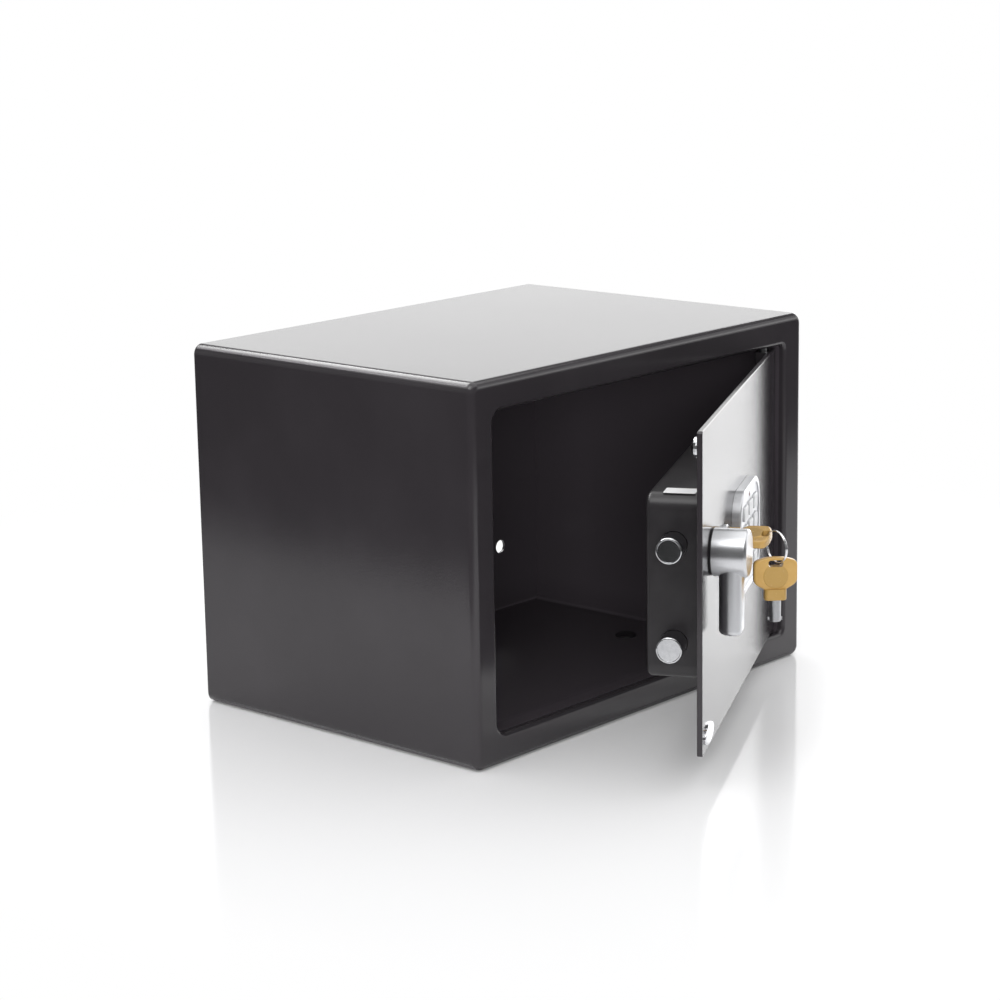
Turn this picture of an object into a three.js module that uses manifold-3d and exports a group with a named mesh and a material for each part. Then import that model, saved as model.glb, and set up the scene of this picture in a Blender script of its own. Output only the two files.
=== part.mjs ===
// A small home safe with its door swung part way open: steel cabinet, keypad, turning lever,
// two round bolts and a key override. Millimetres, +Z up, the door opens toward -Y.
// The origin is on the floor plane under the middle of the cabinet.
import * as THREE from 'three';
import { mergeVertices } from 'three/addons/utils/BufferGeometryUtils.js';
import Module from 'manifold-3d';

const wasm = await Module();
wasm.setup();

// Cabinet
const cabinetWidth = 350;
const cabinetDepth = 250;
const cabinetHeight = 250;
const sheet = 2;
const cornerRadius = 7;
const frontEdgeRadius = 5;
const frameMargin = 20.5;
const openingFreeRadius = 8;
const openingHingeRadius = 4;
const openingEdgeRadius = 3;
const returnDepth = 19;
const lockReturnDepth = 13.5;
const frontFrameDepth = 8;
const anchorRadius = 5;
const anchorInset = 45;
const rearAnchorHeight = 51.5;

// Door plate and its gaps in the opening
const doorThickness = 3.5;
const doorRecess = 2;
const freeGap = 2.5;
const hingeGap = 3;
const topGap = 3;
const bottomGap = 2;
const doorCornerRadius = 2;
const doorEdgeBreak = 0.6;
const doorOpenDegrees = 27.407;

// Hinges
const pinRadius = 3;
const pinClear = 0.3;
const pinFromHingeEdge = 10.5;
const pinBehindFace = 7.5;
const pinLength = 34;
const pinAboveEdge = 7;
const lugHeight = 30;
const lugWall = 4.2;

// General fits
const seatGap = 0.3;
const slideClear = 0.3;

// Lock case on the back of the door
const caseFreeInset = 20.5;
const caseWidth = 191.5;
const caseDepth = 35.4;
const caseBottom = 42.5;
const caseHeight = 117.5;
const caseWall = 1.5;
const caseCornerRadius = 10;
const caseEdgeRadius = 7;

// Round bolts
const boltRadius = 8.4;
const boltTipChamfer = 1;
const boltTipInset = 2.5;
const boltBack = 17.7;
const boltCentreHeight = 97.65;
const boltSpacing = 62.5;
const boltNeckRadius = 4;
const boltNeckLength = 6.3;
const boltHoleClear = 0.4;
const boltTravel = 15;

// Handle
const handleInset = 37.5;
const handleHeight = 121.3;
const hubRadius = 15;
const hubLength = 21;
const hubEdgeRadius = 1.6;
const spacerThickness = 1.4;
const spacerOverhang = 0.3;
const leverHalfWidth = 11.5;
const leverHalfThickness = 8.45;
const leverForward = 13;
const leverReach = 52.3;
const leverEndRadius = 4.5;
const spindleRadius = 4;
const spindleInHub = 9.6;
const crankThickness = 2.4;
const crankHubRadius = 8;
const crankEndRadius = 5;
const crankPinRadius = 3;
const handleTurn = 90;

// Bolt carriage
const carriageThickness = 2;
const carriageClear = 0.4;
const crankSlotClear = 0.6;
const postRadius = 3;
const postShoulderRadius = 5;
const postHeadRadius = 4.6;
const postHeadThickness = 1.5;
const postInset = 66;
const lowerPostHeight = 61.5;
const upperPostHeight = 141;
const slotWeb = 1.5;
const flangeThickness = 2;
const flangeBack = 27.5;
const boltFlangeInset = 50;

// Bolt guide
const guideThickness = 2.5;
const guideInset = 24;
const guideMargin = 3;
const guideFootLength = 18;
const guideFootThickness = 2;

// Solenoid and its plunger
const solenoidInset = 110;
const solenoidFloor = 108.5;
const solenoidHeight = 26;
const solenoidWidth = 18;
const solenoidDepth = 16;
const bracketWall = 1.5;
const coilRadius = 7;
const plungerRadius = 3;
const plungerClear = 0.4;
const plungerReach = 5.5;
const plungerLength = 27.5;
const plungerLift = 1.5;

// Key override
const lockInset = 80;
const lockHeight = 121.3;
const barrelRadius = 9.3;
const barrelFaceRadius = 11;
const barrelFaceThickness = 2.1;
const barrelLength = 12.5;
const barrelHoleClear = 0.4;
const coreRadius = 6.3;
const coreClear = 0.3;
const coreTail = 4;
const keywayClear = 0.4;
const keywayPast = 1;
const nutAcrossFlats = 24;
const nutThickness = 3.5;
const camLength = 15;
const camThickness = 2;
const camRadius = 5;
const camStubRadius = 3;

// Keys
const keyWidth = 29;
const keyHeadLength = 22;
const keyThickness = 5.4;
const keyEdgeRound = 1.2;
const keyShoulderWidth = 14.5;
const keyShoulderThickness = 8;
const keyShoulderLength = 7.4;
const keySlotWidth = 9.4;
const keySlotHeight = 4.2;
const keyEndBar = 1.7;
const keyDiscRadius = 8;
const keyDiscRise = 0.4;
const shaftRadius = 3.8;
const shaftBore = 2.6;
const shaftLength = 14;
const shaftInHead = 6;
const keyTiltDegrees = 8;
const spareTurnDegrees = 19;
const spareShift = 1.2;
const ringRadius = 10.21;
const ringWireRadius = 0.85;
const ringCentre = [72.17, -34.61, 117.55];
const ringNormal = [0.715, -0.697, 0.045];
const spareHangGap = 1.15;

// Keypad
const keypadInset = 110;
const keypadWidth = 82;
const keypadBottom = 70.5;
const keypadHeight = 69.5;
const keypadProud = 6.3;
const keypadCornerRadius = 15;
const keypadEdgeRadius = 1.3;
const keypadRim = 4;
const fieldRecess = 1;
const fieldThickness = 1.7;
const keypadWall = 2.2;
const buttonWidth = 15;
const buttonHeight = 9;
const buttonCorner = 2;
const buttonColumnPitch = 20;
const buttonRowPitch = 13;
const buttonRise = 1.5;
const buttonClear = 0.3;
const buttonFlange = 1;
const buttonFlangeThickness = 0.8;
const buttonPlay = 0.7;
const lensRadius = 1.6;
const lensRise = 27.5;
const boardThickness = 0.8;
const cableHoleRadius = 6;

// Door stud
const studRadius = 6.5;
const studRise = 4.2;
const studInset = 8.5;
const studFromTop = 11;

// Batteries and electronics in the case
const batteryRadius = 7.1;
const batteryLength = 49.2;
const batteryNubRadius = 2.6;
const batteryNubLength = 1.3;
const batteryPitch = 15.2;
const batteryCount = 4;
const trayInset = 136;
const trayBottom = 67.5;
const trayMargin = 2.6;
const trayWall = 1.5;
const trayEndRoom = 3.75;
const lidClear = 0.7;
const lidThickness = 1.3;
const pcbThickness = 1.6;
const pcbStandoff = 3.8;
const pcbWidth = 60;
const pcbHeight = 50;

const doorWidth = cabinetWidth - 2 * frameMargin - freeGap - hingeGap;
const doorHeight = cabinetHeight - 2 * frameMargin - topGap - bottomGap;
const doorFront = -cabinetDepth / 2 + doorRecess;
const halfOpening = cabinetWidth / 2 - frameMargin;
const hingeX = halfOpening - hingeGap - pinFromHingeEdge;
const hingeY = doorFront + pinBehindFace;
const doorFloor = frameMargin + bottomGap;

const paint = { color: 0x242225, roughness: 0.42, metalness: 0.1 };
const silver = { color: 0xc9c9cb, roughness: 0.28, metalness: 0.9 };
const steel = { color: 0xb4b6b8, roughness: 0.35, metalness: 0.9 };
const chrome = { color: 0xdedee0, roughness: 0.1, metalness: 1 };
const blackPlastic = { color: 0x1a1a1c, roughness: 0.5, metalness: 0 };
const greyPlastic = { color: 0xc6c7c9, roughness: 0.45, metalness: 0 };
const keyPlastic = { color: 0xd9a44a, roughness: 0.4, metalness: 0 };
const boardGreen = { color: 0x1d5b3a, roughness: 0.5, metalness: 0 };
const copper = { color: 0xa8562c, roughness: 0.4, metalness: 0.6 };
const brass = { color: 0xb8985a, roughness: 0.35, metalness: 0.9 };
const lens = { color: 0x7a1616, roughness: 0.2, metalness: 0 };
const wrap = { color: 0x2f6f4a, roughness: 0.35, metalness: 0.3 };

const safe = new THREE.Group();
const doorSwing = new THREE.Group();
doorSwing.position.set(hingeX, hingeY, doorFloor);
doorSwing.rotation.z = THREE.MathUtils.degToRad(doorOpenDegrees);
safe.add(doorSwing);

// Everything on the door is placed from the bottom of its free edge: x runs to the hinge,
// y runs from its front face to the back, z runs up.
const door = new THREE.Group();
door.position.set(pinFromHingeEdge - doorWidth, -pinBehindFace, 0);
doorSwing.add(door);

function place(parent, name, geometry, finish, position = [0, 0, 0]) {
  geometry.computeVertexNormals();
  const mesh = new THREE.Mesh(geometry, new THREE.MeshStandardMaterial(finish));
  mesh.name = name;
  mesh.position.set(...position);
  parent.add(mesh);
  return mesh;
}

// Triangles with three different corners, as an indexed geometry that only holds positions.
function welded(geometry) {
  const bare = geometry.clone();
  bare.deleteAttribute('normal');
  bare.deleteAttribute('uv');
  const merged = mergeVertices(bare, 1e-4);
  const index = merged.index.array;
  const kept = [];
  for (let i = 0; i < index.length; i += 3) {
    const [a, b, c] = [index[i], index[i + 1], index[i + 2]];
    if (a !== b && b !== c && c !== a) kept.push(a, b, c);
  }
  merged.setIndex(kept);
  return merged;
}

function toSolid(geometry) {
  const g = welded(geometry);
  return new wasm.Manifold(new wasm.Mesh({
    numProp: 3,
    vertProperties: new Float32Array(g.attributes.position.array),
    triVerts: new Uint32Array(g.index.array),
  }));
}

function toGeometry(solid) {
  const mesh = solid.getMesh();
  const g = new THREE.BufferGeometry();
  g.setAttribute('position', new THREE.BufferAttribute(new Float32Array(mesh.vertProperties), 3));
  g.setIndex(new THREE.BufferAttribute(new Uint32Array(mesh.triVerts), 1));
  return g;
}

function cut(geometry, ...tools) {
  return toGeometry(tools.reduce((left, tool) => left.subtract(toSolid(tool)), toSolid(geometry)));
}

function join(geometry, ...others) {
  return toGeometry(others.reduce((sum, other) => sum.add(toSolid(other)), toSolid(geometry)));
}

// Six times the signed volume, negative where the faces point inward.
function signedVolume(points, index) {
  let sum = 0;
  for (let i = 0; i < index.length; i += 3) {
    const [a, b, c] = [points[index[i]], points[index[i + 1]], points[index[i + 2]]];
    sum += a.dot(b.clone().cross(c));
  }
  return sum;
}

// Joins loops of equal point counts into one skin. A capped skin closes its first and last loop
// with flat ends, and a closed one runs from the last loop back to the first.
function loft(loops, closed = false) {
  const count = loops[0].length;
  const points = loops.flat();
  const index = [];
  const spans = closed ? loops.length : loops.length - 1;
  for (let k = 0; k < spans; k++) {
    const low = k * count;
    const high = ((k + 1) % loops.length) * count;
    for (let i = 0; i < count; i++) {
      const j = (i + 1) % count;
      index.push(low + i, low + j, high + j, low + i, high + j, high + i);
    }
  }
  if (!closed) {
    const last = (loops.length - 1) * count;
    for (let i = 1; i < count - 1; i++) {
      index.push(0, i + 1, i);
      index.push(last, last + i, last + i + 1);
    }
  }
  if (signedVolume(points, index) < 0) {
    for (let i = 0; i < index.length; i += 3) [index[i + 1], index[i + 2]] = [index[i + 2], index[i + 1]];
  }
  const g = new THREE.BufferGeometry();
  g.setAttribute('position', new THREE.Float32BufferAttribute(points.flatMap((p) => [p.x, p.y, p.z]), 3));
  g.setIndex(index);
  return g;
}

// One loop of a rectangle with round corners at a given depth y, seen from the front. Its radius
// is one number, or one for the corners at x1 and one for those at x0.
function frontLoop([x0, x1, z0, z1], radius, y, inset = 0, steps = 4) {
  const [right, left] = [radius].flat().length > 1 ? radius : [radius, radius];
  const loop = [];
  for (let quarter = 0; quarter < 4; quarter++) {
    const onRight = quarter === 0 || quarter === 3;
    const r = Math.max((onRight ? right : left) - inset, 0.2);
    const cx = onRight ? x1 - inset - r : x0 + inset + r;
    const cz = quarter < 2 ? z1 - inset - r : z0 + inset + r;
    for (let i = 0; i <= steps; i++) {
      const angle = (quarter + i / steps) * Math.PI / 2;
      loop.push(new THREE.Vector3(cx + r * Math.cos(angle), y, cz + r * Math.sin(angle)));
    }
  }
  return loop;
}

function roundedShape([x0, x1, y0, y1], r) {
  const s = new THREE.Shape();
  s.moveTo(x0 + r, y0);
  s.lineTo(x1 - r, y0);
  s.absarc(x1 - r, y0 + r, r, -Math.PI / 2, 0);
  s.lineTo(x1, y1 - r);
  s.absarc(x1 - r, y1 - r, r, 0, Math.PI / 2);
  s.lineTo(x0 + r, y1);
  s.absarc(x0 + r, y1 - r, r, Math.PI / 2, Math.PI);
  s.lineTo(x0, y0 + r);
  s.absarc(x0 + r, y0 + r, r, Math.PI, 1.5 * Math.PI);
  return s;
}

function circlePath(x, y, r) {
  const p = new THREE.Path();
  p.absarc(x, y, r, 0, 2 * Math.PI, true);
  return p;
}

function slotPath(x0, x1, y, r) {
  const p = new THREE.Path();
  p.moveTo(x0, y + r);
  p.absarc(x0, y, r, Math.PI / 2, 1.5 * Math.PI);
  p.absarc(x1, y, r, -Math.PI / 2, Math.PI / 2);
  return p;
}

// A shape drawn in x and z as seen from the front, given thickness from depth y0 to y1.
function frontPlate(shape, y0, y1, edge = 0, curveSegments = 5, edgeSteps = 1) {
  const g = new THREE.ExtrudeGeometry(shape, {
    depth: y1 - y0 - 2 * edge,
    bevelEnabled: edge > 0,
    bevelThickness: edge,
    bevelSize: edge,
    bevelOffset: -edge,
    bevelSegments: edgeSteps,
    curveSegments,
  });
  return g.rotateX(Math.PI / 2).translate(0, y1 - edge, 0);
}

// A shape drawn in x and y as seen from above, given height from z0 to z1.
function planPlate(shape, z0, z1, curveSegments = 6) {
  return new THREE.ExtrudeGeometry(shape, { depth: z1 - z0, bevelEnabled: false, curveSegments })
    .translate(0, 0, z0);
}

function box(x0, x1, y0, y1, z0, z1) {
  return new THREE.BoxGeometry(x1 - x0, y1 - y0, z1 - z0)
    .translate((x0 + x1) / 2, (y0 + y1) / 2, (z0 + z1) / 2);
}

// A turned piece from its profile of [radius, distance along the axis], with its axis along Y.
function turned(profile, segments = 18) {
  const g = new THREE.LatheGeometry(profile.map(([r, d]) => new THREE.Vector2(r, d)), segments);
  const merged = welded(g);
  const position = merged.attributes.position;
  const points = [];
  for (let i = 0; i < position.count; i++) points.push(new THREE.Vector3().fromBufferAttribute(position, i));
  const index = Array.from(merged.index.array);
  if (signedVolume(points, index) < 0) {
    for (let i = 0; i < index.length; i += 3) [index[i + 1], index[i + 2]] = [index[i + 2], index[i + 1]];
    merged.setIndex(index);
  }
  return merged;
}

const alongX = (g) => g.rotateZ(-Math.PI / 2);
const alongZ = (g) => g.rotateX(Math.PI / 2);

function pinAlongY(r, y0, y1, x, z, segments = 18) {
  return new THREE.CylinderGeometry(r, r, y1 - y0, segments).translate(x, (y0 + y1) / 2, z);
}

function pinAlongZ(r, z0, z1, x, y, segments = 18) {
  return alongZ(new THREE.CylinderGeometry(r, r, z1 - z0, segments)).translate(x, y, (z0 + z1) / 2);
}

function pinAlongX(r, x0, x1, y, z, segments = 18) {
  return alongX(new THREE.CylinderGeometry(r, r, x1 - x0, segments)).translate((x0 + x1) / 2, y, z);
}

// Cabinet: a wrapped tube of sheet, a front frame folded inward round the opening, and a back.
const outerRect = [-cabinetWidth / 2, cabinetWidth / 2, 0, cabinetHeight];
const openingRadii = [openingHingeRadius, openingFreeRadius];
const openingRect = [-halfOpening, halfOpening, frameMargin, cabinetHeight - frameMargin];
const frontY = -cabinetDepth / 2;
const backY = cabinetDepth / 2;
const shellFront = frontY + frontFrameDepth;
const shellBack = backY - sheet;

const wrapper = loft([
  frontLoop(outerRect, cornerRadius, shellFront),
  frontLoop(outerRect, cornerRadius, shellBack),
  frontLoop(outerRect, cornerRadius, shellBack, sheet),
  frontLoop(outerRect, cornerRadius, shellFront, sheet),
], true);
const anchorX = cabinetWidth / 2 - anchorInset;
place(safe, 'body_shell', cut(
  wrapper,
  ...[-1, 1].map((side) => pinAlongZ(anchorRadius, -1, sheet + 1, side * anchorX, 0, 20)),
), paint);

place(safe, 'back_panel', cut(
  loft([frontLoop(outerRect, cornerRadius, shellBack), frontLoop(outerRect, cornerRadius, backY)]),
  ...[-1, 1].map((side) => pinAlongY(
    anchorRadius, shellBack - 1, backY + 1, side * anchorX, rearAnchorHeight, 20,
  )),
), paint);

// The frame's section runs from the outside edge over the rounded front to the end of the
// return, then back along its inner side, one sheet thickness away.
function frameSection() {
  const loops = [];
  const innerEdge = Math.max(frontEdgeRadius - sheet, 0.5);
  const innerBend = Math.max(openingEdgeRadius - sheet, 0.5);
  const edgeSteps = 4;
  loops.push(frontLoop(outerRect, cornerRadius, shellFront));
  for (let i = 0; i <= edgeSteps; i++) {
    const a = (i / edgeSteps) * Math.PI / 2;
    const inset = frontEdgeRadius * (1 - Math.cos(a));
    loops.push(frontLoop(outerRect, cornerRadius, frontY + frontEdgeRadius * (1 - Math.sin(a)), inset));
  }
  for (let i = 0; i <= edgeSteps; i++) {
    const a = (i / edgeSteps) * Math.PI / 2;
    const out = openingEdgeRadius * (1 - Math.sin(a));
    const y = frontY + openingEdgeRadius * (1 - Math.cos(a));
    loops.push(frontLoop(openingRect, openingRadii, y, -out));
  }
  loops.push(frontLoop(openingRect, openingRadii, frontY + returnDepth));
  loops.push(frontLoop(openingRect, openingRadii, frontY + returnDepth, -sheet));
  loops.push(frontLoop(openingRect, openingRadii, frontY + sheet + innerBend, -sheet));
  loops.push(frontLoop(openingRect, openingRadii, frontY + sheet, -sheet - innerBend));
  loops.push(frontLoop(outerRect, cornerRadius, frontY + sheet, sheet + innerEdge));
  loops.push(frontLoop(outerRect, cornerRadius, frontY + sheet + innerEdge, sheet));
  loops.push(frontLoop(outerRect, cornerRadius, shellFront, sheet));
  return loops;
}

const returnRelief = box(
  -halfOpening - sheet - 1, -halfOpening + openingFreeRadius,
  frontY + lockReturnDepth, frontY + returnDepth + 1,
  frameMargin - sheet - 1, cabinetHeight - frameMargin + sheet + 1,
);
place(safe, 'front_frame', cut(
  loft(frameSection(), true),
  returnRelief,
  pinAlongZ(pinRadius + pinClear, frameMargin - sheet - 1, frameMargin + 1, hingeX, hingeY),
  pinAlongZ(
    pinRadius + pinClear,
    cabinetHeight - frameMargin - 1, cabinetHeight - frameMargin + sheet + 1, hingeX, hingeY,
  ),
), paint);

// Door plate with holes for the spindle, the lock barrel and the keypad's cable
const keypadCentre = keypadInset + keypadWidth / 2;
const keypadMiddle = keypadBottom + keypadHeight / 2;
const plateShape = roundedShape([0, doorWidth, 0, doorHeight], doorCornerRadius);
plateShape.holes.push(
  circlePath(handleInset, handleHeight, spindleRadius + slideClear + doorEdgeBreak),
  circlePath(lockInset, lockHeight, barrelRadius + barrelHoleClear + doorEdgeBreak),
  circlePath(keypadCentre, keypadMiddle, cableHoleRadius),
);
place(door, 'door_plate', frontPlate(plateShape, 0, doorThickness, doorEdgeBreak), paint);
const onPlate = doorThickness + seatGap;

// Hinge lugs behind the plate hold the pins that stand in the frame's returns.
const pinX = doorWidth - pinFromHingeEdge;
const lugRect = [
  pinX - pinRadius - lugWall - 1, pinX + pinRadius + lugWall,
  onPlate, pinBehindFace + pinRadius + lugWall - 2.6,
];
const lugShape = roundedShape(lugRect, 1.4);
lugShape.holes.push(circlePath(pinX, pinBehindFace, pinRadius + slideClear));
for (const [name, z0, low] of [['top', doorHeight - lugHeight - 0.5, false], ['bottom', 0.5, true]]) {
  place(door, `hinge_lug_${name}`, planPlate(lugShape, z0, z0 + lugHeight), paint);
  const start = low ? -pinAboveEdge : doorHeight - pinLength + pinAboveEdge;
  place(door, `hinge_pin_${name}`, alongZ(turned([
    [0, 0], [pinRadius - 0.6, 0], [pinRadius, 0.6], [pinRadius, pinLength - 0.6],
    [pinRadius - 0.6, pinLength], [0, pinLength],
  ])).translate(pinX, pinBehindFace, start), steel);
}

place(door, 'door_stud', turned([
  [0, 0], [studRadius, 0], [studRadius, studRise * 0.25], [studRadius * 0.93, studRise * 0.55],
  [studRadius * 0.72, studRise * 0.83], [studRadius * 0.38, studRise * 0.97], [0, studRise],
], 20).translate(studInset, onPlate, doorHeight - studFromTop), chrome);

// Lock case: a drawn cover, open toward the plate, with holes for the bolts and the batteries
const caseRect = [caseFreeInset, caseFreeInset + caseWidth, caseBottom, caseBottom + caseHeight];
const caseBack = onPlate + caseDepth;
function caseLoops(wall) {
  const loops = [frontLoop(caseRect, caseCornerRadius, onPlate, wall)];
  const round = caseEdgeRadius - wall;
  const steps = 4;
  for (let i = 0; i <= steps; i++) {
    const a = (i / steps) * Math.PI / 2;
    const y = caseBack - wall - round * (1 - Math.sin(a));
    loops.push(frontLoop(caseRect, caseCornerRadius, y, wall + round * (1 - Math.cos(a))));
  }
  return loops;
}
const trayInnerWidth = (batteryCount - 1) * batteryPitch + 2 * batteryRadius + 2 * trayMargin;
const trayInnerHeight = batteryLength + batteryNubLength + 2 * trayEndRoom;
const trayRect = [trayInset, trayInset + trayInnerWidth, trayBottom, trayBottom + trayInnerHeight];
const boltHeights = [boltCentreHeight - boltSpacing / 2, boltCentreHeight + boltSpacing / 2];
const boltY = doorThickness + boltBack;
place(door, 'lock_case', cut(
  loft([...caseLoops(caseWall).reverse(), ...caseLoops(0)]),
  ...boltHeights.map((z) => pinAlongX(
    boltRadius + boltHoleClear, caseFreeInset - 1, caseFreeInset + caseWall + 1, boltY, z, 24,
  )),
  frontPlate(roundedShape(trayRect, 2), caseBack - caseWall - 1, caseBack + 1),
), blackPlastic);

// Handle: hub and lever are one casting on a spindle that turns the crank behind the plate.
const hubFront = -hubLength - seatGap - spacerThickness - seatGap;
const hubBack = -seatGap - spacerThickness - seatGap;
const crankTop = onPlate + crankThickness + seatGap;
const throwAngle = THREE.MathUtils.degToRad(handleTurn / 2);
const crankRadius = boltTravel / 2 / Math.sin(throwAngle);
const crankPinInset = handleInset + boltTravel / 2;
const crankPinHeight = handleHeight - crankRadius * Math.cos(throwAngle);
const crankPinLowest = handleHeight - crankRadius;
const carriageY = crankTop + carriageClear;

place(door, 'handle_spacer', turned([
  [spindleRadius + slideClear, 0], [hubRadius + spacerOverhang, 0],
  [hubRadius + spacerOverhang, spacerThickness], [spindleRadius + slideClear, spacerThickness],
  [spindleRadius + slideClear, 0],
], 32).translate(handleInset, -seatGap - spacerThickness, handleHeight), blackPlastic);

const handle = new THREE.Group();
handle.position.set(handleInset, 0, handleHeight);
door.add(handle);
const hub = turned([
  [0, hubFront], [hubRadius - hubEdgeRadius, hubFront],
  [hubRadius - hubEdgeRadius * 0.3, hubFront + hubEdgeRadius * 0.3],
  [hubRadius, hubFront + hubEdgeRadius], [hubRadius, hubBack], [0, hubBack],
], 36);
// The lever's section is an oval and its end is rounded over.
function leverLoops() {
  const loops = [];
  const count = 24;
  const oval = (shrink, z) => Array.from({ length: count }, (_, i) => {
    const a = (i / count) * 2 * Math.PI;
    const x = (leverHalfWidth - shrink) * Math.cos(a);
    const y = (leverHalfThickness - shrink) * Math.sin(a) - leverForward;
    return new THREE.Vector3(x, y, z);
  });
  loops.push(oval(0, 0));
  for (let i = 0; i <= 4; i++) {
    const a = (i / 4) * Math.PI / 2;
    loops.push(oval(leverEndRadius * (1 - Math.cos(a)), -leverReach + leverEndRadius * (1 - Math.sin(a))));
  }
  return loops;
}
const boreEnd = hubBack - spindleInHub - slideClear;
place(handle, 'handle', cut(
  join(hub, loft(leverLoops())),
  pinAlongY(spindleRadius + slideClear, boreEnd, hubBack + 1, 0, 0),
), silver);
const spindleEnd = onPlate + seatGap + crankThickness;
place(handle, 'handle_spindle', turned([
  [0, hubBack - spindleInHub], [spindleRadius, hubBack - spindleInHub],
  [spindleRadius, spindleEnd - 0.5], [spindleRadius - 0.5, spindleEnd], [0, spindleEnd],
]), steel);

// Crank: two rounds joined by their outer tangents, with the pin near the smaller one
function crankShape() {
  const dx = crankPinInset - handleInset;
  const dz = crankPinHeight - handleHeight;
  const heading = Math.atan2(dz, dx);
  const spread = Math.acos((crankHubRadius - crankEndRadius) / crankRadius);
  const s = new THREE.Shape();
  s.absarc(0, 0, crankHubRadius, heading + spread, heading - spread + 2 * Math.PI);
  s.absarc(dx, dz, crankEndRadius, heading - spread, heading + spread);
  s.holes.push(circlePath(0, 0, spindleRadius + slideClear));
  return s;
}
const crankBack = onPlate + seatGap + crankThickness;
const crankPinEnd = carriageY + carriageThickness + 0.7;
place(handle, 'handle_crank', join(
  frontPlate(crankShape(), onPlate + seatGap, crankBack, 0, 10),
  pinAlongY(
    crankPinRadius, crankBack - 0.5, crankPinEnd, crankPinInset - handleInset, crankPinHeight - handleHeight,
  ),
), steel);

// Bolt carriage: a slotted plate that slides on two posts, with a flange that carries the bolts
// and a lip whose two holes take the solenoid's plunger.
const carriageBack = carriageY + carriageThickness;
const slotHalf = postRadius + slideClear;
const crankSlotHalf = crankPinRadius + crankSlotClear;
const tongueInset = crankPinInset - crankSlotHalf - 3.5;
const tongueTop = crankPinHeight + crankSlotHalf + 4;
const tongueBottom = crankPinLowest - crankSlotHalf - 4;
const lipHeight = solenoidFloor - plungerReach - plungerLift;
const armBottom = lipHeight - 20;
const webRight = lockInset - nutAcrossFlats / 2 - 8;
function carriageShape() {
  const left = guideInset + guideThickness + boltTravel + 1.2;
  const low = lowerPostHeight - slotHalf - slotWeb;
  const high = upperPostHeight + slotHalf + slotWeb;
  const slotEnd = postInset + boltTravel + slotHalf + 2 * slotWeb;
  const s = new THREE.Shape();
  s.moveTo(left, low);
  s.lineTo(slotEnd, low);
  s.lineTo(slotEnd, armBottom);
  s.lineTo(solenoidInset + boltTravel + plungerRadius + 4, armBottom);
  s.lineTo(solenoidInset + boltTravel + plungerRadius + 4, lipHeight);
  s.lineTo(webRight, lipHeight);
  s.lineTo(webRight, upperPostHeight - slotHalf - slotWeb);
  s.lineTo(slotEnd, upperPostHeight - slotHalf - slotWeb);
  s.lineTo(slotEnd, high);
  s.lineTo(left, high);
  s.lineTo(left, tongueTop);
  s.lineTo(tongueInset, tongueTop);
  s.lineTo(tongueInset, tongueBottom);
  s.lineTo(left, tongueBottom);
  s.closePath();
  s.holes.push(slotPath(postInset, postInset + boltTravel, lowerPostHeight, slotHalf));
  s.holes.push(slotPath(postInset, postInset + boltTravel, upperPostHeight, slotHalf));
  const crankSlot = new THREE.Path();
  crankSlot.moveTo(crankPinInset - crankSlotHalf, crankPinLowest);
  crankSlot.absarc(crankPinInset, crankPinLowest, crankSlotHalf, Math.PI, 2 * Math.PI);
  crankSlot.absarc(crankPinInset, crankPinHeight, crankSlotHalf, 0, Math.PI);
  s.holes.push(crankSlot);
  return s;
}
const guideHalf = boltRadius + boltHoleClear + guideMargin;
const flangeLow = boltHeights[0] - boltRadius;
const flangeHigh = boltHeights[1] + boltRadius;
const solenoidY = onPlate + seatGap + solenoidDepth / 2;
const lipBack = solenoidY + plungerRadius + plungerClear + 2;
place(door, 'bolt_carriage', cut(
  join(
    frontPlate(carriageShape(), carriageY, carriageBack),
    box(
      boltFlangeInset, boltFlangeInset + flangeThickness,
      carriageY + 0.5, onPlate + flangeBack, flangeLow, flangeHigh,
    ),
    box(
      solenoidInset - plungerRadius - 8, solenoidInset + boltTravel + plungerRadius + 4,
      carriageY + 0.5, lipBack, lipHeight - carriageThickness, lipHeight,
    ),
  ),
  ...boltHeights.map((z) => pinAlongX(
    boltNeckRadius + slideClear, boltFlangeInset - 1, boltFlangeInset + flangeThickness + 1, boltY, z,
  )),
  ...[0, boltTravel].map((shift) => pinAlongZ(
    plungerRadius + plungerClear,
    lipHeight - carriageThickness - 1, lipHeight + 1, solenoidInset + shift, solenoidY,
  )),
), steel);

boltHeights.forEach((z, i) => {
  const rodEnd = boltFlangeInset - seatGap;
  place(door, i ? 'bolt_upper' : 'bolt_lower', alongX(turned([
    [0, boltTipInset], [boltRadius - boltTipChamfer, boltTipInset],
    [boltRadius, boltTipInset + boltTipChamfer],
    [boltRadius, rodEnd], [boltNeckRadius, rodEnd], [boltNeckRadius, rodEnd + boltNeckLength],
    [0, rodEnd + boltNeckLength],
  ], 28)).translate(0, boltY, z), steel);
});

// The guide stands inside the case wall, and is cut back over the crank and the carriage's tongue,
// which pass between it and the plate.
const guideStep = tongueBottom - 1;
const guideFootTop = guideStep - 7;
function guideShape() {
  const overCrank = crankPinEnd + 0.6;
  const low = boltHeights[0] - guideHalf + guideMargin / 2;
  const high = boltHeights[1] + guideHalf - guideMargin / 2;
  const s = new THREE.Shape();
  s.moveTo(onPlate, low);
  s.lineTo(boltY + guideHalf, low);
  s.lineTo(boltY + guideHalf, high);
  s.lineTo(overCrank, high);
  s.lineTo(overCrank, guideStep);
  s.lineTo(onPlate, guideStep - 5);
  s.closePath();
  for (const z of boltHeights) s.holes.push(circlePath(boltY, z, boltRadius + slideClear));
  return s;
}
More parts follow.
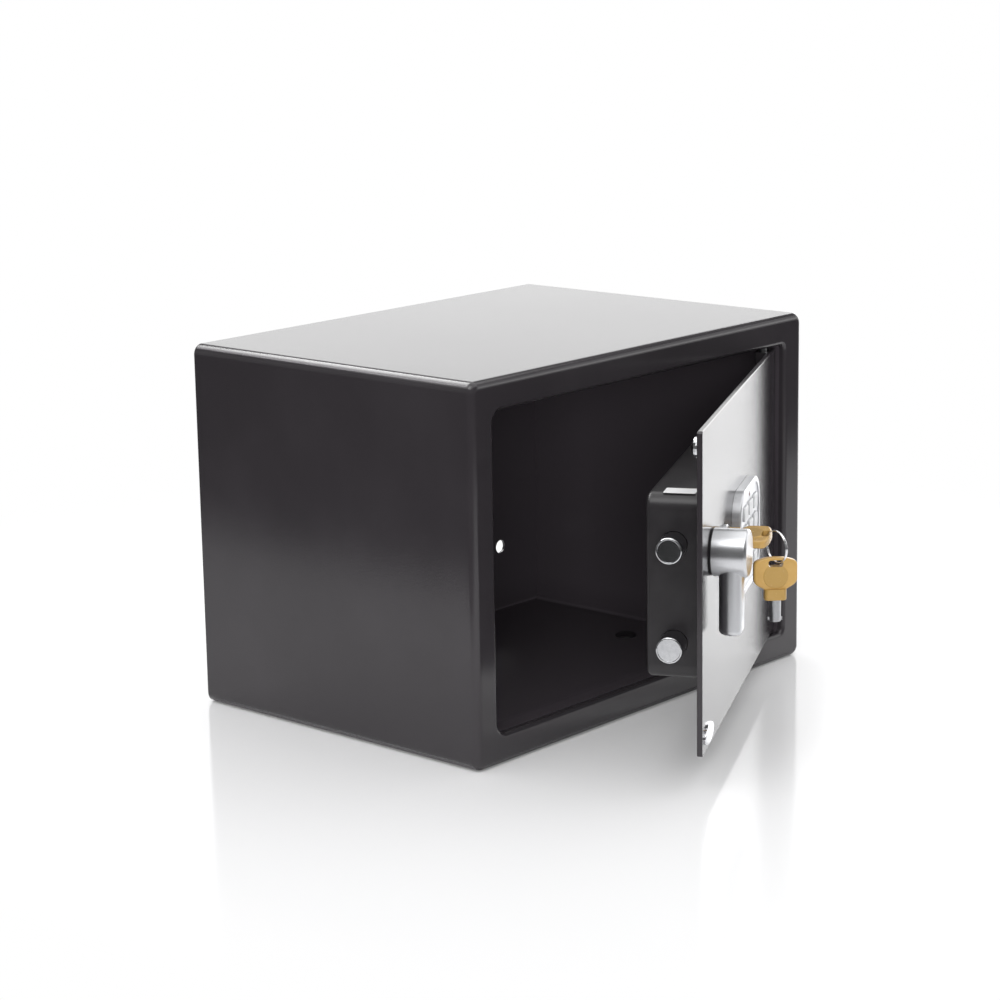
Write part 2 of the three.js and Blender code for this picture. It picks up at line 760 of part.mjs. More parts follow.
// Drawn in y and z, then turned so that its thickness runs along x.
const guideUpright = new THREE.ExtrudeGeometry(guideShape(), {
  depth: guideThickness, bevelEnabled: false, curveSegments: 9,
}).applyMatrix4(new THREE.Matrix4().makeBasis(
  new THREE.Vector3(0, 1, 0), new THREE.Vector3(0, 0, 1), new THREE.Vector3(1, 0, 0),
)).translate(guideInset, 0, 0);
place(door, 'bolt_guide', join(
  guideUpright,
  box(
    guideInset + guideThickness - 0.5, guideInset + guideThickness + guideFootLength,
    onPlate, onPlate + guideFootThickness,
    boltHeights[0] - guideHalf + guideMargin / 2, guideFootTop,
  ),
), steel);

for (const [name, z] of [['lower', lowerPostHeight], ['upper', upperPostHeight]]) {
  const under = carriageY - slideClear;
  const over = carriageBack + slideClear;
  place(door, `guide_post_${name}`, turned([
    [0, onPlate], [postShoulderRadius, onPlate], [postShoulderRadius, under], [postRadius, under],
    [postRadius, over], [postHeadRadius, over], [postHeadRadius, over + postHeadThickness],
    [0, over + postHeadThickness],
  ]).translate(postInset, 0, z), steel);
}

// Solenoid: a bent bracket round a coil, whose plunger drops into the carriage's lip
const bracketLeft = solenoidInset - solenoidWidth / 2;
const bracketRight = solenoidInset + solenoidWidth / 2;
const solenoidTop = solenoidFloor + solenoidHeight;
const bracketShape = new THREE.Shape();
bracketShape.moveTo(bracketLeft, solenoidFloor);
bracketShape.lineTo(bracketRight, solenoidFloor);
bracketShape.lineTo(bracketRight, solenoidFloor + bracketWall);
bracketShape.lineTo(bracketLeft + bracketWall, solenoidFloor + bracketWall);
bracketShape.lineTo(bracketLeft + bracketWall, solenoidTop - bracketWall);
bracketShape.lineTo(bracketRight, solenoidTop - bracketWall);
bracketShape.lineTo(bracketRight, solenoidTop);
bracketShape.lineTo(bracketLeft, solenoidTop);
bracketShape.closePath();
const bracketFront = onPlate + seatGap;
place(door, 'solenoid_bracket', cut(
  frontPlate(bracketShape, bracketFront, bracketFront + solenoidDepth),
  pinAlongZ(plungerRadius + plungerClear, solenoidFloor - 1, solenoidTop + 1, solenoidInset, solenoidY),
), steel);
const coilLow = solenoidFloor + bracketWall + seatGap;
const coilHigh = solenoidTop - bracketWall - seatGap;
place(door, 'solenoid_coil', cut(
  pinAlongZ(coilRadius, coilLow, coilHigh, solenoidInset, solenoidY, 20),
  pinAlongZ(plungerRadius + plungerClear, coilLow - 1, coilHigh + 1, solenoidInset, solenoidY),
), copper);
place(door, 'solenoid_plunger', alongZ(turned([
  [0, 0], [plungerRadius - 0.5, 0], [plungerRadius, 0.5], [plungerRadius, plungerLength - 0.5],
  [plungerRadius - 0.5, plungerLength], [0, plungerLength],
])).translate(solenoidInset, solenoidY, solenoidFloor - plungerReach), steel);

// Key override: barrel through the plate, nut behind it, core with a ring keyway, and a cam
const barrelFace = -seatGap - barrelFaceThickness;
const barrelBack = doorThickness + barrelLength;
place(door, 'lock_barrel', turned([
  [coreRadius + coreClear, barrelFace], [barrelFaceRadius - 0.8, barrelFace],
  [barrelFaceRadius, barrelFace + 0.8], [barrelFaceRadius, -seatGap], [barrelRadius, -seatGap],
  [barrelRadius, barrelBack], [coreRadius + coreClear, barrelBack], [coreRadius + coreClear, barrelFace],
], 26).translate(lockInset, 0, lockHeight), chrome);

const nutShape = new THREE.Shape();
for (let i = 0; i < 6; i++) {
  const a = (i / 6) * 2 * Math.PI;
  const r = nutAcrossFlats / Math.sqrt(3);
  nutShape[i ? 'lineTo' : 'moveTo'](lockInset + r * Math.cos(a), lockHeight + r * Math.sin(a));
}
nutShape.closePath();
nutShape.holes.push(circlePath(lockInset, lockHeight, barrelRadius + slideClear));
place(door, 'lock_nut', frontPlate(nutShape, onPlate, onPlate + nutThickness, 0, 8), brass);

const coreFace = barrelFace + 0.2;
const keyStand = barrelFace - seatGap;
const keywayEnd = keyStand + shaftLength + keywayPast;
const coreBack = barrelBack + 0.6;
const postInKey = shaftBore - keywayClear;
const coreGroup = new THREE.Group();
coreGroup.position.set(lockInset, 0, lockHeight);
door.add(coreGroup);
place(coreGroup, 'lock_core', turned([
  [0, coreFace], [postInKey, coreFace], [postInKey, keywayEnd], [shaftRadius + keywayClear, keywayEnd],
  [shaftRadius + keywayClear, coreFace], [coreRadius, coreFace], [coreRadius, coreBack],
  [camStubRadius, coreBack], [camStubRadius, coreBack + coreTail], [0, coreBack + coreTail],
], 20), brass);
const camShape = new THREE.Shape();
camShape.absarc(0, 0, camRadius + 1, 0, Math.PI);
camShape.lineTo(-camRadius + 1, -camLength + 3);
camShape.absarc(0, -camLength + 4, 4, Math.PI, 2 * Math.PI);
camShape.holes.push(circlePath(0, 0, camStubRadius + slideClear));
place(coreGroup, 'lock_cam', frontPlate(
  camShape, coreBack + seatGap, coreBack + seatGap + camThickness,
), steel);

// Keys: z runs from the shoulder's end to the end of the head, x across it, y through it.
function keyHeadShape() {
  const half = keyWidth / 2;
  const top = keyShoulderLength + keyHeadLength;
  const neck = keyShoulderWidth / 2;
  const s = new THREE.Shape();
  s.moveTo(-neck + 0.6, keyShoulderLength - 0.8);
  s.lineTo(neck - 0.6, keyShoulderLength - 0.8);
  s.quadraticCurveTo(neck - 0.2, keyShoulderLength + 0.6, neck + 1, keyShoulderLength + 1.2);
  s.bezierCurveTo(
    half - 2.2, keyShoulderLength + 3.2, half, keyShoulderLength + 4.4, half, keyShoulderLength + 8,
  );
  s.lineTo(half, top - 5.6);
  s.bezierCurveTo(half, top - 2.6, half - 2.2, top - 1.7, half - 5, top - 1.1);
  s.quadraticCurveTo(half / 2 - 2, top, 0, top);
  s.quadraticCurveTo(-half / 2 + 2, top, -half + 5, top - 1.1);
  s.bezierCurveTo(-half + 2.2, top - 1.7, -half, top - 2.6, -half, top - 5.6);
  s.lineTo(-half, keyShoulderLength + 8);
  s.bezierCurveTo(
    -half, keyShoulderLength + 4.4, -half + 2.2, keyShoulderLength + 3.2, -neck - 1, keyShoulderLength + 1.2,
  );
  s.quadraticCurveTo(-neck + 0.2, keyShoulderLength + 0.6, -neck + 0.6, keyShoulderLength - 0.8);
  return s;
}
const keyTop = keyShoulderLength + keyHeadLength;
const slotCentre = keyTop - keyEndBar - keySlotHeight / 2;
function keyHead() {
  const blade = frontPlate(keyHeadShape(), -keyThickness / 2, keyThickness / 2, keyEdgeRound, 4, 2);
  const shoulderRect = [
    -keyShoulderWidth / 2, keyShoulderWidth / 2, -keyShoulderThickness / 2, keyShoulderThickness / 2,
  ];
  const shoulder = planPlate(roundedShape(shoulderRect, 2.8), 0, keyShoulderLength + 1, 4);
  const disc = pinAlongY(
    keyDiscRadius, -keyThickness / 2 - keyDiscRise, keyThickness / 2 + keyDiscRise,
    0, keyShoulderLength + keyHeadLength / 2 - 1.4, 24,
  );
  const r = 1.2;
  const slot = roundedShape([
    -keySlotWidth / 2, keySlotWidth / 2, slotCentre - keySlotHeight / 2, slotCentre + keySlotHeight / 2,
  ], r);
  return cut(
    join(blade, shoulder, disc),
    frontPlate(slot, -keyThickness, keyThickness, 0, 3),
    pinAlongZ(shaftRadius + slideClear, -1, shaftInHead + slideClear, 0, 0),
  );
}
function keyShaft() {
  return alongZ(turned([
    [0, 0], [shaftRadius, 0], [shaftRadius, shaftInHead + shaftLength - 0.5],
    [shaftRadius - 0.5, shaftInHead + shaftLength], [shaftBore, shaftInHead + shaftLength],
    [shaftBore, shaftInHead], [0, shaftInHead],
  ], 18)).rotateX(Math.PI).translate(0, 0, shaftInHead);
}
// A key's own directions: across the head, through it and along it
function keyGroup(across, along, origin) {
  const group = new THREE.Group();
  const through = along.clone().cross(across);
  group.setRotationFromMatrix(new THREE.Matrix4().makeBasis(across, through, along));
  group.position.copy(origin);
  door.add(group);
  return group;
}
const tilt = THREE.MathUtils.degToRad(keyTiltDegrees);
const insertedKey = keyGroup(
  new THREE.Vector3(Math.cos(tilt), 0, Math.sin(tilt)),
  new THREE.Vector3(0, -1, 0),
  new THREE.Vector3(lockInset, keyStand, lockHeight),
);
place(insertedKey, 'key_head', keyHead(), keyPlastic);
place(insertedKey, 'key_shaft', keyShaft(), chrome);

const normal = new THREE.Vector3(...ringNormal).normalize();
const ringGroup = new THREE.Group();
ringGroup.position.set(...ringCentre);
ringGroup.quaternion.setFromUnitVectors(new THREE.Vector3(0, 0, 1), normal);
door.add(ringGroup);
place(ringGroup, 'key_ring', welded(new THREE.TorusGeometry(ringRadius, ringWireRadius, 6, 36)), chrome);

// The spare key hangs from the lowest point of the ring.
const rise = new THREE.Vector3(0, 0, 1).addScaledVector(normal, -normal.z).normalize();
const ringBottom = new THREE.Vector3(...ringCentre).addScaledVector(rise, -ringRadius);
const spareTurn = THREE.MathUtils.degToRad(spareTurnDegrees);
const spareAcross = new THREE.Vector3(Math.sin(spareTurn), -Math.cos(spareTurn), 0);
const spareKey = keyGroup(
  spareAcross,
  new THREE.Vector3(0, 0, 1),
  ringBottom.clone().addScaledVector(spareAcross, -spareShift)
    .add(new THREE.Vector3(0, 0, ringWireRadius + spareHangGap - keySlotHeight / 2 - slotCentre)),
);
place(spareKey, 'spare_head', keyHead(), keyPlastic);
place(spareKey, 'spare_shaft', keyShaft(), chrome);

// Keypad: a hollow bezel with a raised rim, twelve buttons, a lens and a switch board
const bezelRect = [keypadInset, keypadInset + keypadWidth, keypadBottom, keypadBottom + keypadHeight];
const bezelBack = -seatGap;
const bezelFront = -keypadProud;
const fieldFace = bezelFront + fieldRecess;
const fieldBack = fieldFace + fieldThickness;
const columns = [-1, 0, 1].map((i) => keypadCentre + i * buttonColumnPitch);
const rows = [1.5, 0.5, -0.5, -1.5].map((i) => keypadMiddle + i * buttonRowPitch - 0.3);
function bezelLoops() {
  const at = (y, inset) => frontLoop(bezelRect, keypadCornerRadius, y, inset, 5);
  const loops = [at(fieldFace, keypadRim), at(bezelFront + 0.3, keypadRim), at(bezelFront, keypadRim - 0.4)];
  for (let i = 3; i >= 0; i--) {
    const a = (i / 3) * Math.PI / 2;
    loops.push(at(bezelFront + keypadEdgeRadius * (1 - Math.sin(a)), keypadEdgeRadius * (1 - Math.cos(a))));
  }
  loops.push(at(bezelBack, 0), at(bezelBack, keypadWall), at(fieldBack, keypadWall));
  return loops;
}
function buttonRect(column, row, extra) {
  return [
    columns[column] - buttonWidth / 2 - extra, columns[column] + buttonWidth / 2 + extra,
    rows[row] - buttonHeight / 2 - extra, rows[row] + buttonHeight / 2 + extra,
  ];
}
const buttonCells = rows.flatMap((_, row) => columns.map((__, column) => [column, row]));
place(door, 'keypad_bezel', cut(
  loft(bezelLoops()),
  ...buttonCells.map(([column, row]) => frontPlate(
    roundedShape(buttonRect(column, row, buttonClear), buttonCorner + buttonClear),
    fieldFace - 1, fieldBack + 1, 0, 2,
  )),
  pinAlongY(
    lensRadius + buttonClear, fieldFace - 1, fieldBack + 1, keypadCentre, keypadMiddle + lensRise, 12,
  ),
), silver);
const boardFront = bezelBack - boardThickness;
const boardInset = keypadWall + 0.8;
place(door, 'keypad_board', loft([
  frontLoop(bezelRect, keypadCornerRadius, boardFront, boardInset),
  frontLoop(bezelRect, keypadCornerRadius, bezelBack, boardInset),
]), boardGreen);
place(door, 'indicator_lens', turned([
  [0, fieldFace - 0.4], [lensRadius - 0.5, fieldFace - 0.2], [lensRadius, fieldFace + 0.3],
  [lensRadius, fieldBack], [lensRadius + 1, fieldBack + 0.2], [lensRadius + 1, boardFront - 0.2],
  [0, boardFront - 0.2],
], 12).translate(keypadCentre, 0, keypadMiddle + lensRise), lens);

const buttonNames = ['1', '2', '3', '4', '5', '6', '7', '8', '9', 'left', '0', 'right'];
const flangeFront = fieldBack + buttonPlay;
const capFront = fieldFace - buttonRise;
buttonCells.forEach(([column, row], i) => {
  const at = (y, inset, extra) => frontLoop(buttonRect(column, row, extra), buttonCorner + extra, y, inset, 2);
  place(door, `button_${buttonNames[i]}`, loft([
    at(capFront, 0.9, 0), at(capFront + 0.25, 0.3, 0), at(capFront + 0.9, 0, 0), at(flangeFront, 0, 0),
    at(flangeFront, 0, buttonFlange), at(flangeFront + buttonFlangeThickness, 0, buttonFlange),
  ]), greyPlastic);
});

// Battery tray, its lid in the case's back, the cells and the control board
const trayFloor = caseBack - caseWall - seatGap - 2 * batteryRadius - 4.5;
const trayBack = caseBack - caseWall - seatGap;
place(door, 'battery_tray', loft([
  frontLoop(trayRect, 2, trayFloor + trayWall, 0, 2),
  frontLoop(trayRect, 2, trayBack, 0, 2),
  frontLoop(trayRect, 2, trayBack, -trayWall, 2),
  frontLoop(trayRect, 2, trayFloor, -trayWall, 2),
]), blackPlastic);
const cellY = trayFloor + trayWall + 0.4 + batteryRadius;
const cellMiddle = (trayRect[2] + trayRect[3]) / 2;
for (let i = 0; i < batteryCount; i++) {
  const cell = turned([
    [0, 0], [batteryRadius - 0.6, 0], [batteryRadius, 0.6], [batteryRadius, batteryLength - 0.6],
    [batteryRadius - 0.6, batteryLength], [batteryNubRadius, batteryLength],
    [batteryNubRadius, batteryLength + batteryNubLength], [0, batteryLength + batteryNubLength],
  ].map(([r, d]) => [r, d - (batteryLength + batteryNubLength) / 2]), 16);
  alongZ(cell);
  if (i % 2) cell.rotateX(Math.PI);
  const x = trayRect[0] + trayMargin + batteryRadius + i * batteryPitch;
  place(door, `battery_${i + 1}`, cell.translate(x, cellY, cellMiddle), wrap);
}
const lidRect = [trayRect[0] + lidClear, trayRect[1] - lidClear, trayRect[2] + lidClear, trayRect[3] - lidClear];
place(door, 'battery_lid', frontPlate(
  roundedShape(lidRect, 1.6), caseBack - lidThickness, caseBack, 0.3, 4,
), blackPlastic);

const pcbLow = trayRect[2] + 2;
const pcbFront = onPlate + pcbStandoff;
const pcbPosts = [[4, 4], [pcbWidth - 4, 4], [4, pcbHeight - 4], [pcbWidth - 4, pcbHeight - 4]];
place(door, 'control_board', join(
  box(trayInset, trayInset + pcbWidth, pcbFront, pcbFront + pcbThickness, pcbLow, pcbLow + pcbHeight),
  ...pcbPosts.map(([x, z]) => pinAlongY(2.5, onPlate, pcbFront + 0.4, trayInset + x, pcbLow + z, 10)),
  box(trayInset + 12, trayInset + 26, pcbFront + 1, pcbFront + pcbThickness + 1.6, pcbLow + 14, pcbLow + 28),
  box(trayInset + 38, trayInset + 50, pcbFront + 1, pcbFront + pcbThickness + 5, pcbLow + 30, pcbLow + 37),
), boardGreen);

export default safe;
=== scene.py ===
# A small home safe with its door part way open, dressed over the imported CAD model.
# Shapes are worked out in millimetres and put into the meshes in metres.
import math

import bmesh
import bpy
import numpy as np
from mathutils import Matrix, Vector


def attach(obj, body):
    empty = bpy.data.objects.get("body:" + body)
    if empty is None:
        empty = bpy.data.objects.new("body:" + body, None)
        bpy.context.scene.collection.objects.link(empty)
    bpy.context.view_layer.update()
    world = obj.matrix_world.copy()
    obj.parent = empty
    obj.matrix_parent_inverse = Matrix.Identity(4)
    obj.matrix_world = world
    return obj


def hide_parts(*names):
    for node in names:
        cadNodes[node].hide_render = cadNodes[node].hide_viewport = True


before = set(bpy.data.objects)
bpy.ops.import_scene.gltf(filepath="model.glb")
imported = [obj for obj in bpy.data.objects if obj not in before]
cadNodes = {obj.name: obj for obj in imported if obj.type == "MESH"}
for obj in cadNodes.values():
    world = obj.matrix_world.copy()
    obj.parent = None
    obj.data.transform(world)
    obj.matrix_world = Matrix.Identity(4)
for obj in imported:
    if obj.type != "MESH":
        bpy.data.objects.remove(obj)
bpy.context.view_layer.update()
scene = bpy.context.scene
scene.view_settings.view_transform = "Standard"
print("frame loaded:", len(cadNodes), "nodes")


# Shader helpers

class Wire:
    # A node's output that arithmetic can be written on: each operator adds one Math node.
    def __init__(self, finish, socket):
        self.finish = finish
        self.socket = socket

    def maths(self, operation, *terms):
        return self.finish.node("ShaderNodeMath", {"operation": operation}, dict(enumerate(terms)))

    def __add__(self, other):
        return self.maths("ADD", self, other)

    def __radd__(self, other):
        return self.maths("ADD", other, self)

    def __sub__(self, other):
        return self.maths("SUBTRACT", self, other)

    def __rsub__(self, other):
        return self.maths("SUBTRACT", other, self)

    def __mul__(self, other):
        return self.maths("MULTIPLY", self, other)

    def __rmul__(self, other):
        return self.maths("MULTIPLY", other, self)

    def clamp(self):
        return self.finish.node("ShaderNodeClamp", {}, {0: self})

    def spread(self, low, high):
        # 0 at low and under, 1 at high and over, with an eased rise between them
        return self.finish.node("ShaderNodeMapRange", {"interpolation_type": "SMOOTHSTEP"},
                                {"Value": self, "From Min": low, "From Max": high})


class Finish:
    # A material (or the world) whose nodes are added one by one.
    def __init__(self, name, owner=None):
        self.owner = owner or bpy.data.materials.new(name)
        self.owner.use_nodes = True
        self.tree = self.owner.node_tree
        self.tree.nodes.clear()

    def node(self, kind, settings, sockets, output=0):
        made = self.tree.nodes.new(kind)
        for key, value in settings.items():
            setattr(made, key, value)
        for key, value in sockets.items():
            if isinstance(value, Wire):
                self.tree.links.new(value.socket, made.inputs[key])
            elif value is not None:
                made.inputs[key].default_value = value
        return Wire(self, made.outputs[output]) if len(made.outputs) else made

    def where(self):
        return self.node("ShaderNodeTexCoord", {}, {}, "Object")

    def noise(self, scale, detail=2.0, roughness=0.5, at=None):
        return self.node("ShaderNodeTexNoise", {}, {
            "Vector": at or self.where(), "Scale": scale, "Detail": detail, "Roughness": roughness})

    def mix(self, factor, first, second):
        return self.node("ShaderNodeMix", {"data_type": "RGBA"}, {"Factor": factor, 6: first, 7: second}, 2)

    def bump(self, height, strength, distance, under=None):
        return self.node("ShaderNodeBump", {}, {
            "Height": height, "Strength": strength, "Distance": distance, "Normal": under})

    def surface(self, **sockets):
        named = {key.replace("_", " "): value for key, value in sockets.items()}
        made = self.node("ShaderNodeBsdfPrincipled", {}, named)
        self.node("ShaderNodeOutputMaterial", {}, {"Surface": made})
        return self.owner


def colour(red, green, blue):
    # An sRGB colour of 0 to 255 as the linear value that a socket takes
    share = np.array([red, green, blue]) / 255
    linear = np.where(share <= 0.04045, share / 12.92, ((share + 0.055) / 1.055) ** 2.4)
    return (*linear.tolist(), 1.0)


# Materials

paintCoat = {
    "tone": (49, 46, 49), "toneWorn": (55, 52, 55), "roughness": 0.13,
    # The inside tones are paler than the outside coat: painted light, standing in for fill light inside the
    # cabinet
    "inside": (71, 66, 71), "insideFloor": (90, 84, 90), "insideRougher": 0.24,
    "insideHalf": (0.1737, 0.1239), "insideY": (-0.1215, 0.1235), "middleZ": 0.125, "floorTop": 0.004,
    "peelScale": 850.0, "peelDepth": 0.00005, "grainScale": 2600.0, "grainDepth": 0.000015,
}


def makePaint(name, paintsInsideLight=False):
    # Powder coat: soft cells of orange peel with a finer grain over them
    f = Finish(name)
    peel = f.noise(paintCoat["peelScale"], 1.5, 0.45)
    grain = f.noise(paintCoat["grainScale"], 2.0, 0.6)
    cloud = f.noise(9.0, 3.0, 0.5)
    tone = f.mix(cloud.spread(0.35, 0.8), colour(*paintCoat["tone"]), colour(*paintCoat["toneWorn"]))
    roughness = paintCoat["roughness"] + (cloud - 0.5) * 0.06
    if paintsInsideLight:
        # Between the walls the tone is painted paler, as painted light standing in for fill light that
        # reaches into the cabinet, and the coat is duller. Each factor is 1 between one pair of walls and
        # 0 past them: for x and z it comes from the square of the half width less that of the place.
        x, y, z = (f.node("ShaderNodeSeparateXYZ", {}, {0: f.where()}, axis) for axis in range(3))
        halfX, halfZ = paintCoat["insideHalf"]
        front, back = paintCoat["insideY"]
        rise = z - paintCoat["middleZ"]
        between = (halfX ** 2 - x * x).spread(0, 0.0002) * (halfZ ** 2 - rise * rise).spread(0, 0.0002)
        between = between * (y - front).spread(0, 0.003) * (back - y).spread(0, 0.0004)
        # The painted light is paler still on the floor, which the height tells from the walls
        onFloor = (paintCoat["floorTop"] - z).spread(0, 0.001)
        paintedInsideLight = f.mix(onFloor, colour(*paintCoat["inside"]), colour(*paintCoat["insideFloor"]))
        tone = f.mix(between, tone, paintedInsideLight)
        roughness = roughness + between * paintCoat["insideRougher"]
    rolled = f.bump(peel, 1.0, paintCoat["peelDepth"])
    normal = f.bump(grain, 1.0, paintCoat["grainDepth"], rolled)
    return f.surface(Base_Color=tone, Roughness=roughness, Normal=normal, IOR=1.5)


def makeMetal(name, tone, shade, roughness, grainScale, grainDepth, stretch=(1, 1, 1), metallic=1.0):
    # Bare metal: two close tones and a roughness that drifts, under a fine grain along one axis
    f = Finish(name)
    stretched = f.node("ShaderNodeMapping", {}, {"Vector": f.where(), "Scale": stretch})
    grain = f.noise(grainScale, 3.0, 0.6, stretched)
    drift = f.noise(60.0, 2.0, 0.5)
    base = f.mix(grain.spread(0.3, 0.7), colour(*tone), colour(*shade))
    drifted = (roughness + (drift - 0.5) * 0.08).clamp()
    return f.surface(Base_Color=base, Metallic=metallic, Roughness=drifted,
                     Normal=f.bump(grain, 0.6, grainDepth))


def makePlastic(name, tone, shade, roughness, grainScale=900.0, grainDepth=0.00004):
    # Moulded plastic: a shallow mottle in the tone and a spark-eroded grain
    f = Finish(name)
    mottle = f.noise(70.0, 3.0, 0.5)
    grain = f.noise(grainScale, 2.0, 0.55)
    base = f.mix(mottle.spread(0.3, 0.75), colour(*tone), colour(*shade))
    return f.surface(Base_Color=base, Roughness=(roughness + (grain - 0.5) * 0.1).clamp(),
                     Normal=f.bump(grain, 0.7, grainDepth), IOR=1.46)


def makeKeyPlastic():
    # Moulded key head: a warm yellow with a very fine grain, browner on the raised disc
    f = Finish("keyPlastic")
    disc = f.node("ShaderNodeAttribute", {"attribute_name": "disc"}, {}, 2)
    mottle = f.noise(70.0, 3.0, 0.5)
    grain = f.noise(900.0, 2.0, 0.5)
    base = f.mix(mottle.spread(0.25, 0.8), colour(195, 158, 93), colour(186, 148, 82))
    base = f.mix(disc * 0.5, base, colour(156, 127, 68))
    return f.surface(Base_Color=base, Roughness=0.26 + (grain - 0.5) * 0.08,
                     Normal=f.bump(grain, 0.6, 0.000005), IOR=1.5)


finishes = {
    "paint": makePaint("blackPaint"),
    "cabinetPaint": makePaint("cabinetPaint", True),
    "satin": makeMetal("satinSilver", (219, 220, 222), (209, 210, 213), 0.31, 2600.0, 0.000003),
    "bright": makeMetal("brightSilver", (238, 238, 240), (230, 230, 233), 0.08, 900.0, 0.0000005),
    "steel": makeMetal("plainSteel", (196, 197, 199), (176, 177, 180), 0.28, 2200.0, 0.000003),
    "blackPlastic": makePlastic("blackPlastic", (34, 32, 34), (41, 39, 41), 0.34),
    "buttonPlastic": makePlastic("buttonPlastic", (206, 207, 209), (196, 197, 200), 0.34),
    "keyPlastic": makeKeyPlastic(),
    "bolt": makeMetal("boltSteel", (212, 213, 215), (196, 197, 200), 0.13, 500.0, 0.000004),
    "silverCoat": makeMetal("silverCoat", (212, 213, 216), (203, 204, 207), 0.33, 1800.0, 0.000004,
                            metallic=0.7),
    "circuitBoard": makePlastic("circuitBoard", (26, 92, 56), (20, 74, 46), 0.35),
    "copperCoil": makeMetal("copperCoil", (196, 118, 72), (150, 82, 46), 0.34, 2400.0, 0.00006, (1, 1, 12)),
    "brass": makeMetal("brassParts", (206, 176, 110), (188, 158, 94), 0.28, 1200.0, 0.00001),
    "wrap": makePlastic("batteryWrap", (47, 111, 74), (40, 98, 64), 0.25),
    "lens": makePlastic("redLens", (120, 20, 20), (92, 14, 14), 0.12, 400.0, 0.00001),
    "label": makePlastic("plainLabel", (236, 236, 236), (228, 228, 229), 0.45),
}
print("materials made:", len(finishes))


# Surface helpers

def roundLoop(box, radius, y, inset=0.0, steps=8):
    # Rows of a rectangle with round corners, one row for each depth y and inset: every point is its
    # corner's centre plus the corner's radius times the cosine and sine of an angle that turns once.
    # The radius is one number, or four for the corners at right top, left top, left foot, right foot.
    x0, x1, z0, z1 = box
    y, inset = (np.atleast_1d(np.asarray(value, float)) for value in (y, inset))
    y, inset = np.broadcast_arrays(y, inset)
    quarter = np.arange(4)[:, None]
    angle = (quarter + np.linspace(0, 1, steps + 1)[None, :]) * math.pi / 2
    right = np.isin(quarter, (0, 3))
    top = quarter < 2
    radii = np.broadcast_to(radius, (4,))[:, None]
    rounded = np.maximum(radii[None] - inset[:, None, None], 0.05)
    centreX = np.where(right, x1 - inset[:, None, None] - rounded, x0 + inset[:, None, None] + rounded)
    centreZ = np.where(top, z1 - inset[:, None, None] - rounded, z0 + inset[:, None, None] + rounded)
    x = centreX + rounded * np.cos(angle)
    z = centreZ + rounded * np.sin(angle)
    depth = np.broadcast_to(y[:, None, None], x.shape)
    return np.stack([x, depth, z], -1).reshape(len(y), -1, 3)


def turnedRows(profile, centre, axis="y", steps=48):
    # A profile of (radius, distance) pairs carried once round an axis through centre
    profile = np.asarray(profile, float)
    angle = np.linspace(0, 2 * math.pi, steps, endpoint=False)
    radius, along = profile[:, :1], np.repeat(profile[:, 1:], steps, 1)
    first, second = radius * np.cos(angle), radius * np.sin(angle)
    parts = {"x": (along, first, second), "y": (first, along, second), "z": (first, second, along)}[axis]
    return np.stack(parts, -1) + np.asarray(centre, float)


def arc(centreR, centreA, radius, start, end, steps=6):
    # Points of a profile's rounding, from one angle to another in degrees
    angle = np.radians(np.linspace(start, end, steps + 1))
    return [(centreR + radius * math.cos(a), centreA + radius * math.sin(a)) for a in angle]


def skin(name, rows, place=None, wrap=False, caps=True):
    # Joins each row of points to the next with four-cornered faces. A wrapped skin joins its last row
    # to its first, and a capped one has a flat face over each end.
    rows = np.asarray(rows, float)
    if place:
        rows = place(rows)
    count, across = rows.shape[:2]
    index = np.arange(count * across).reshape(count, across)
    here = index if wrap else index[:-1]
    nextRow = np.roll(index, -1, 0) if wrap else index[1:]
    quads = np.stack([here, np.roll(here, -1, 1), np.roll(nextRow, -1, 1), nextRow], -1).reshape(-1, 4)
    faces = quads.tolist()
    if caps and not wrap:
        faces += [index[0][::-1].tolist(), index[-1].tolist()]
    mesh = bpy.data.meshes.new(name)
    mesh.from_pydata((rows.reshape(-1, 3) / 1000).tolist(), [], faces)
    tidy = bmesh.new()
    tidy.from_mesh(mesh)
    bmesh.ops.remove_doubles(tidy, verts=tidy.verts, dist=1e-6)
    bmesh.ops.dissolve_degenerate(tidy, edges=tidy.edges, dist=1e-7)
    if tidy.calc_volume(signed=True) < 0:
        bmesh.ops.reverse_faces(tidy, faces=tidy.faces)
    tidy.to_mesh(mesh)
    tidy.free()
    piece = bpy.data.objects.new(name, mesh)
    scene.collection.objects.link(piece)
    return piece


def applyModifiers(piece):
    # The piece's mesh becomes what its modifiers make of it
    bpy.context.view_layer.update()
    made = bpy.data.meshes.new_from_object(piece.evaluated_get(bpy.context.evaluated_depsgraph_get()))
    piece.modifiers.clear()
    piece.data = made


def combine(piece, tools, operation="DIFFERENCE"):
    # The piece cut by each tool in turn, or joined with it
    for tool in tools:
        step = piece.modifiers.new("combine", "BOOLEAN")
        step.operation = operation
        step.solver = "EXACT"
        step.object = tool
    applyModifiers(piece)
    for tool in tools:
        bpy.data.objects.remove(tool)
    return piece


def gather(piece, others):
    # Several closed skins in one piece, each kept whole
    whole = bmesh.new()
    for part in (piece, *others):
        whole.from_mesh(part.data)
    whole.to_mesh(piece.data)
    whole.free()
    for part in others:
        bpy.data.objects.remove(part)
    return piece


def dress(piece, body, finish, stands=(), sharp=32):
    # Shading, material, body and slot of a finished piece
    mesh = piece.data
    mesh.materials.clear()
    mesh.materials.append(finishes[finish])
    mesh.polygons.foreach_set("use_smooth", np.ones(len(mesh.polygons), bool))
    mesh.set_sharp_from_angle(angle=math.radians(sharp))
    evened = piece.modifiers.new("evened", "WEIGHTED_NORMAL")
    evened.keep_sharp = True
    evened.weight = 100
    applyModifiers(piece)
    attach(piece, body)
    if stands:
        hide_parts(*stands)
    return piece


# Cabinet

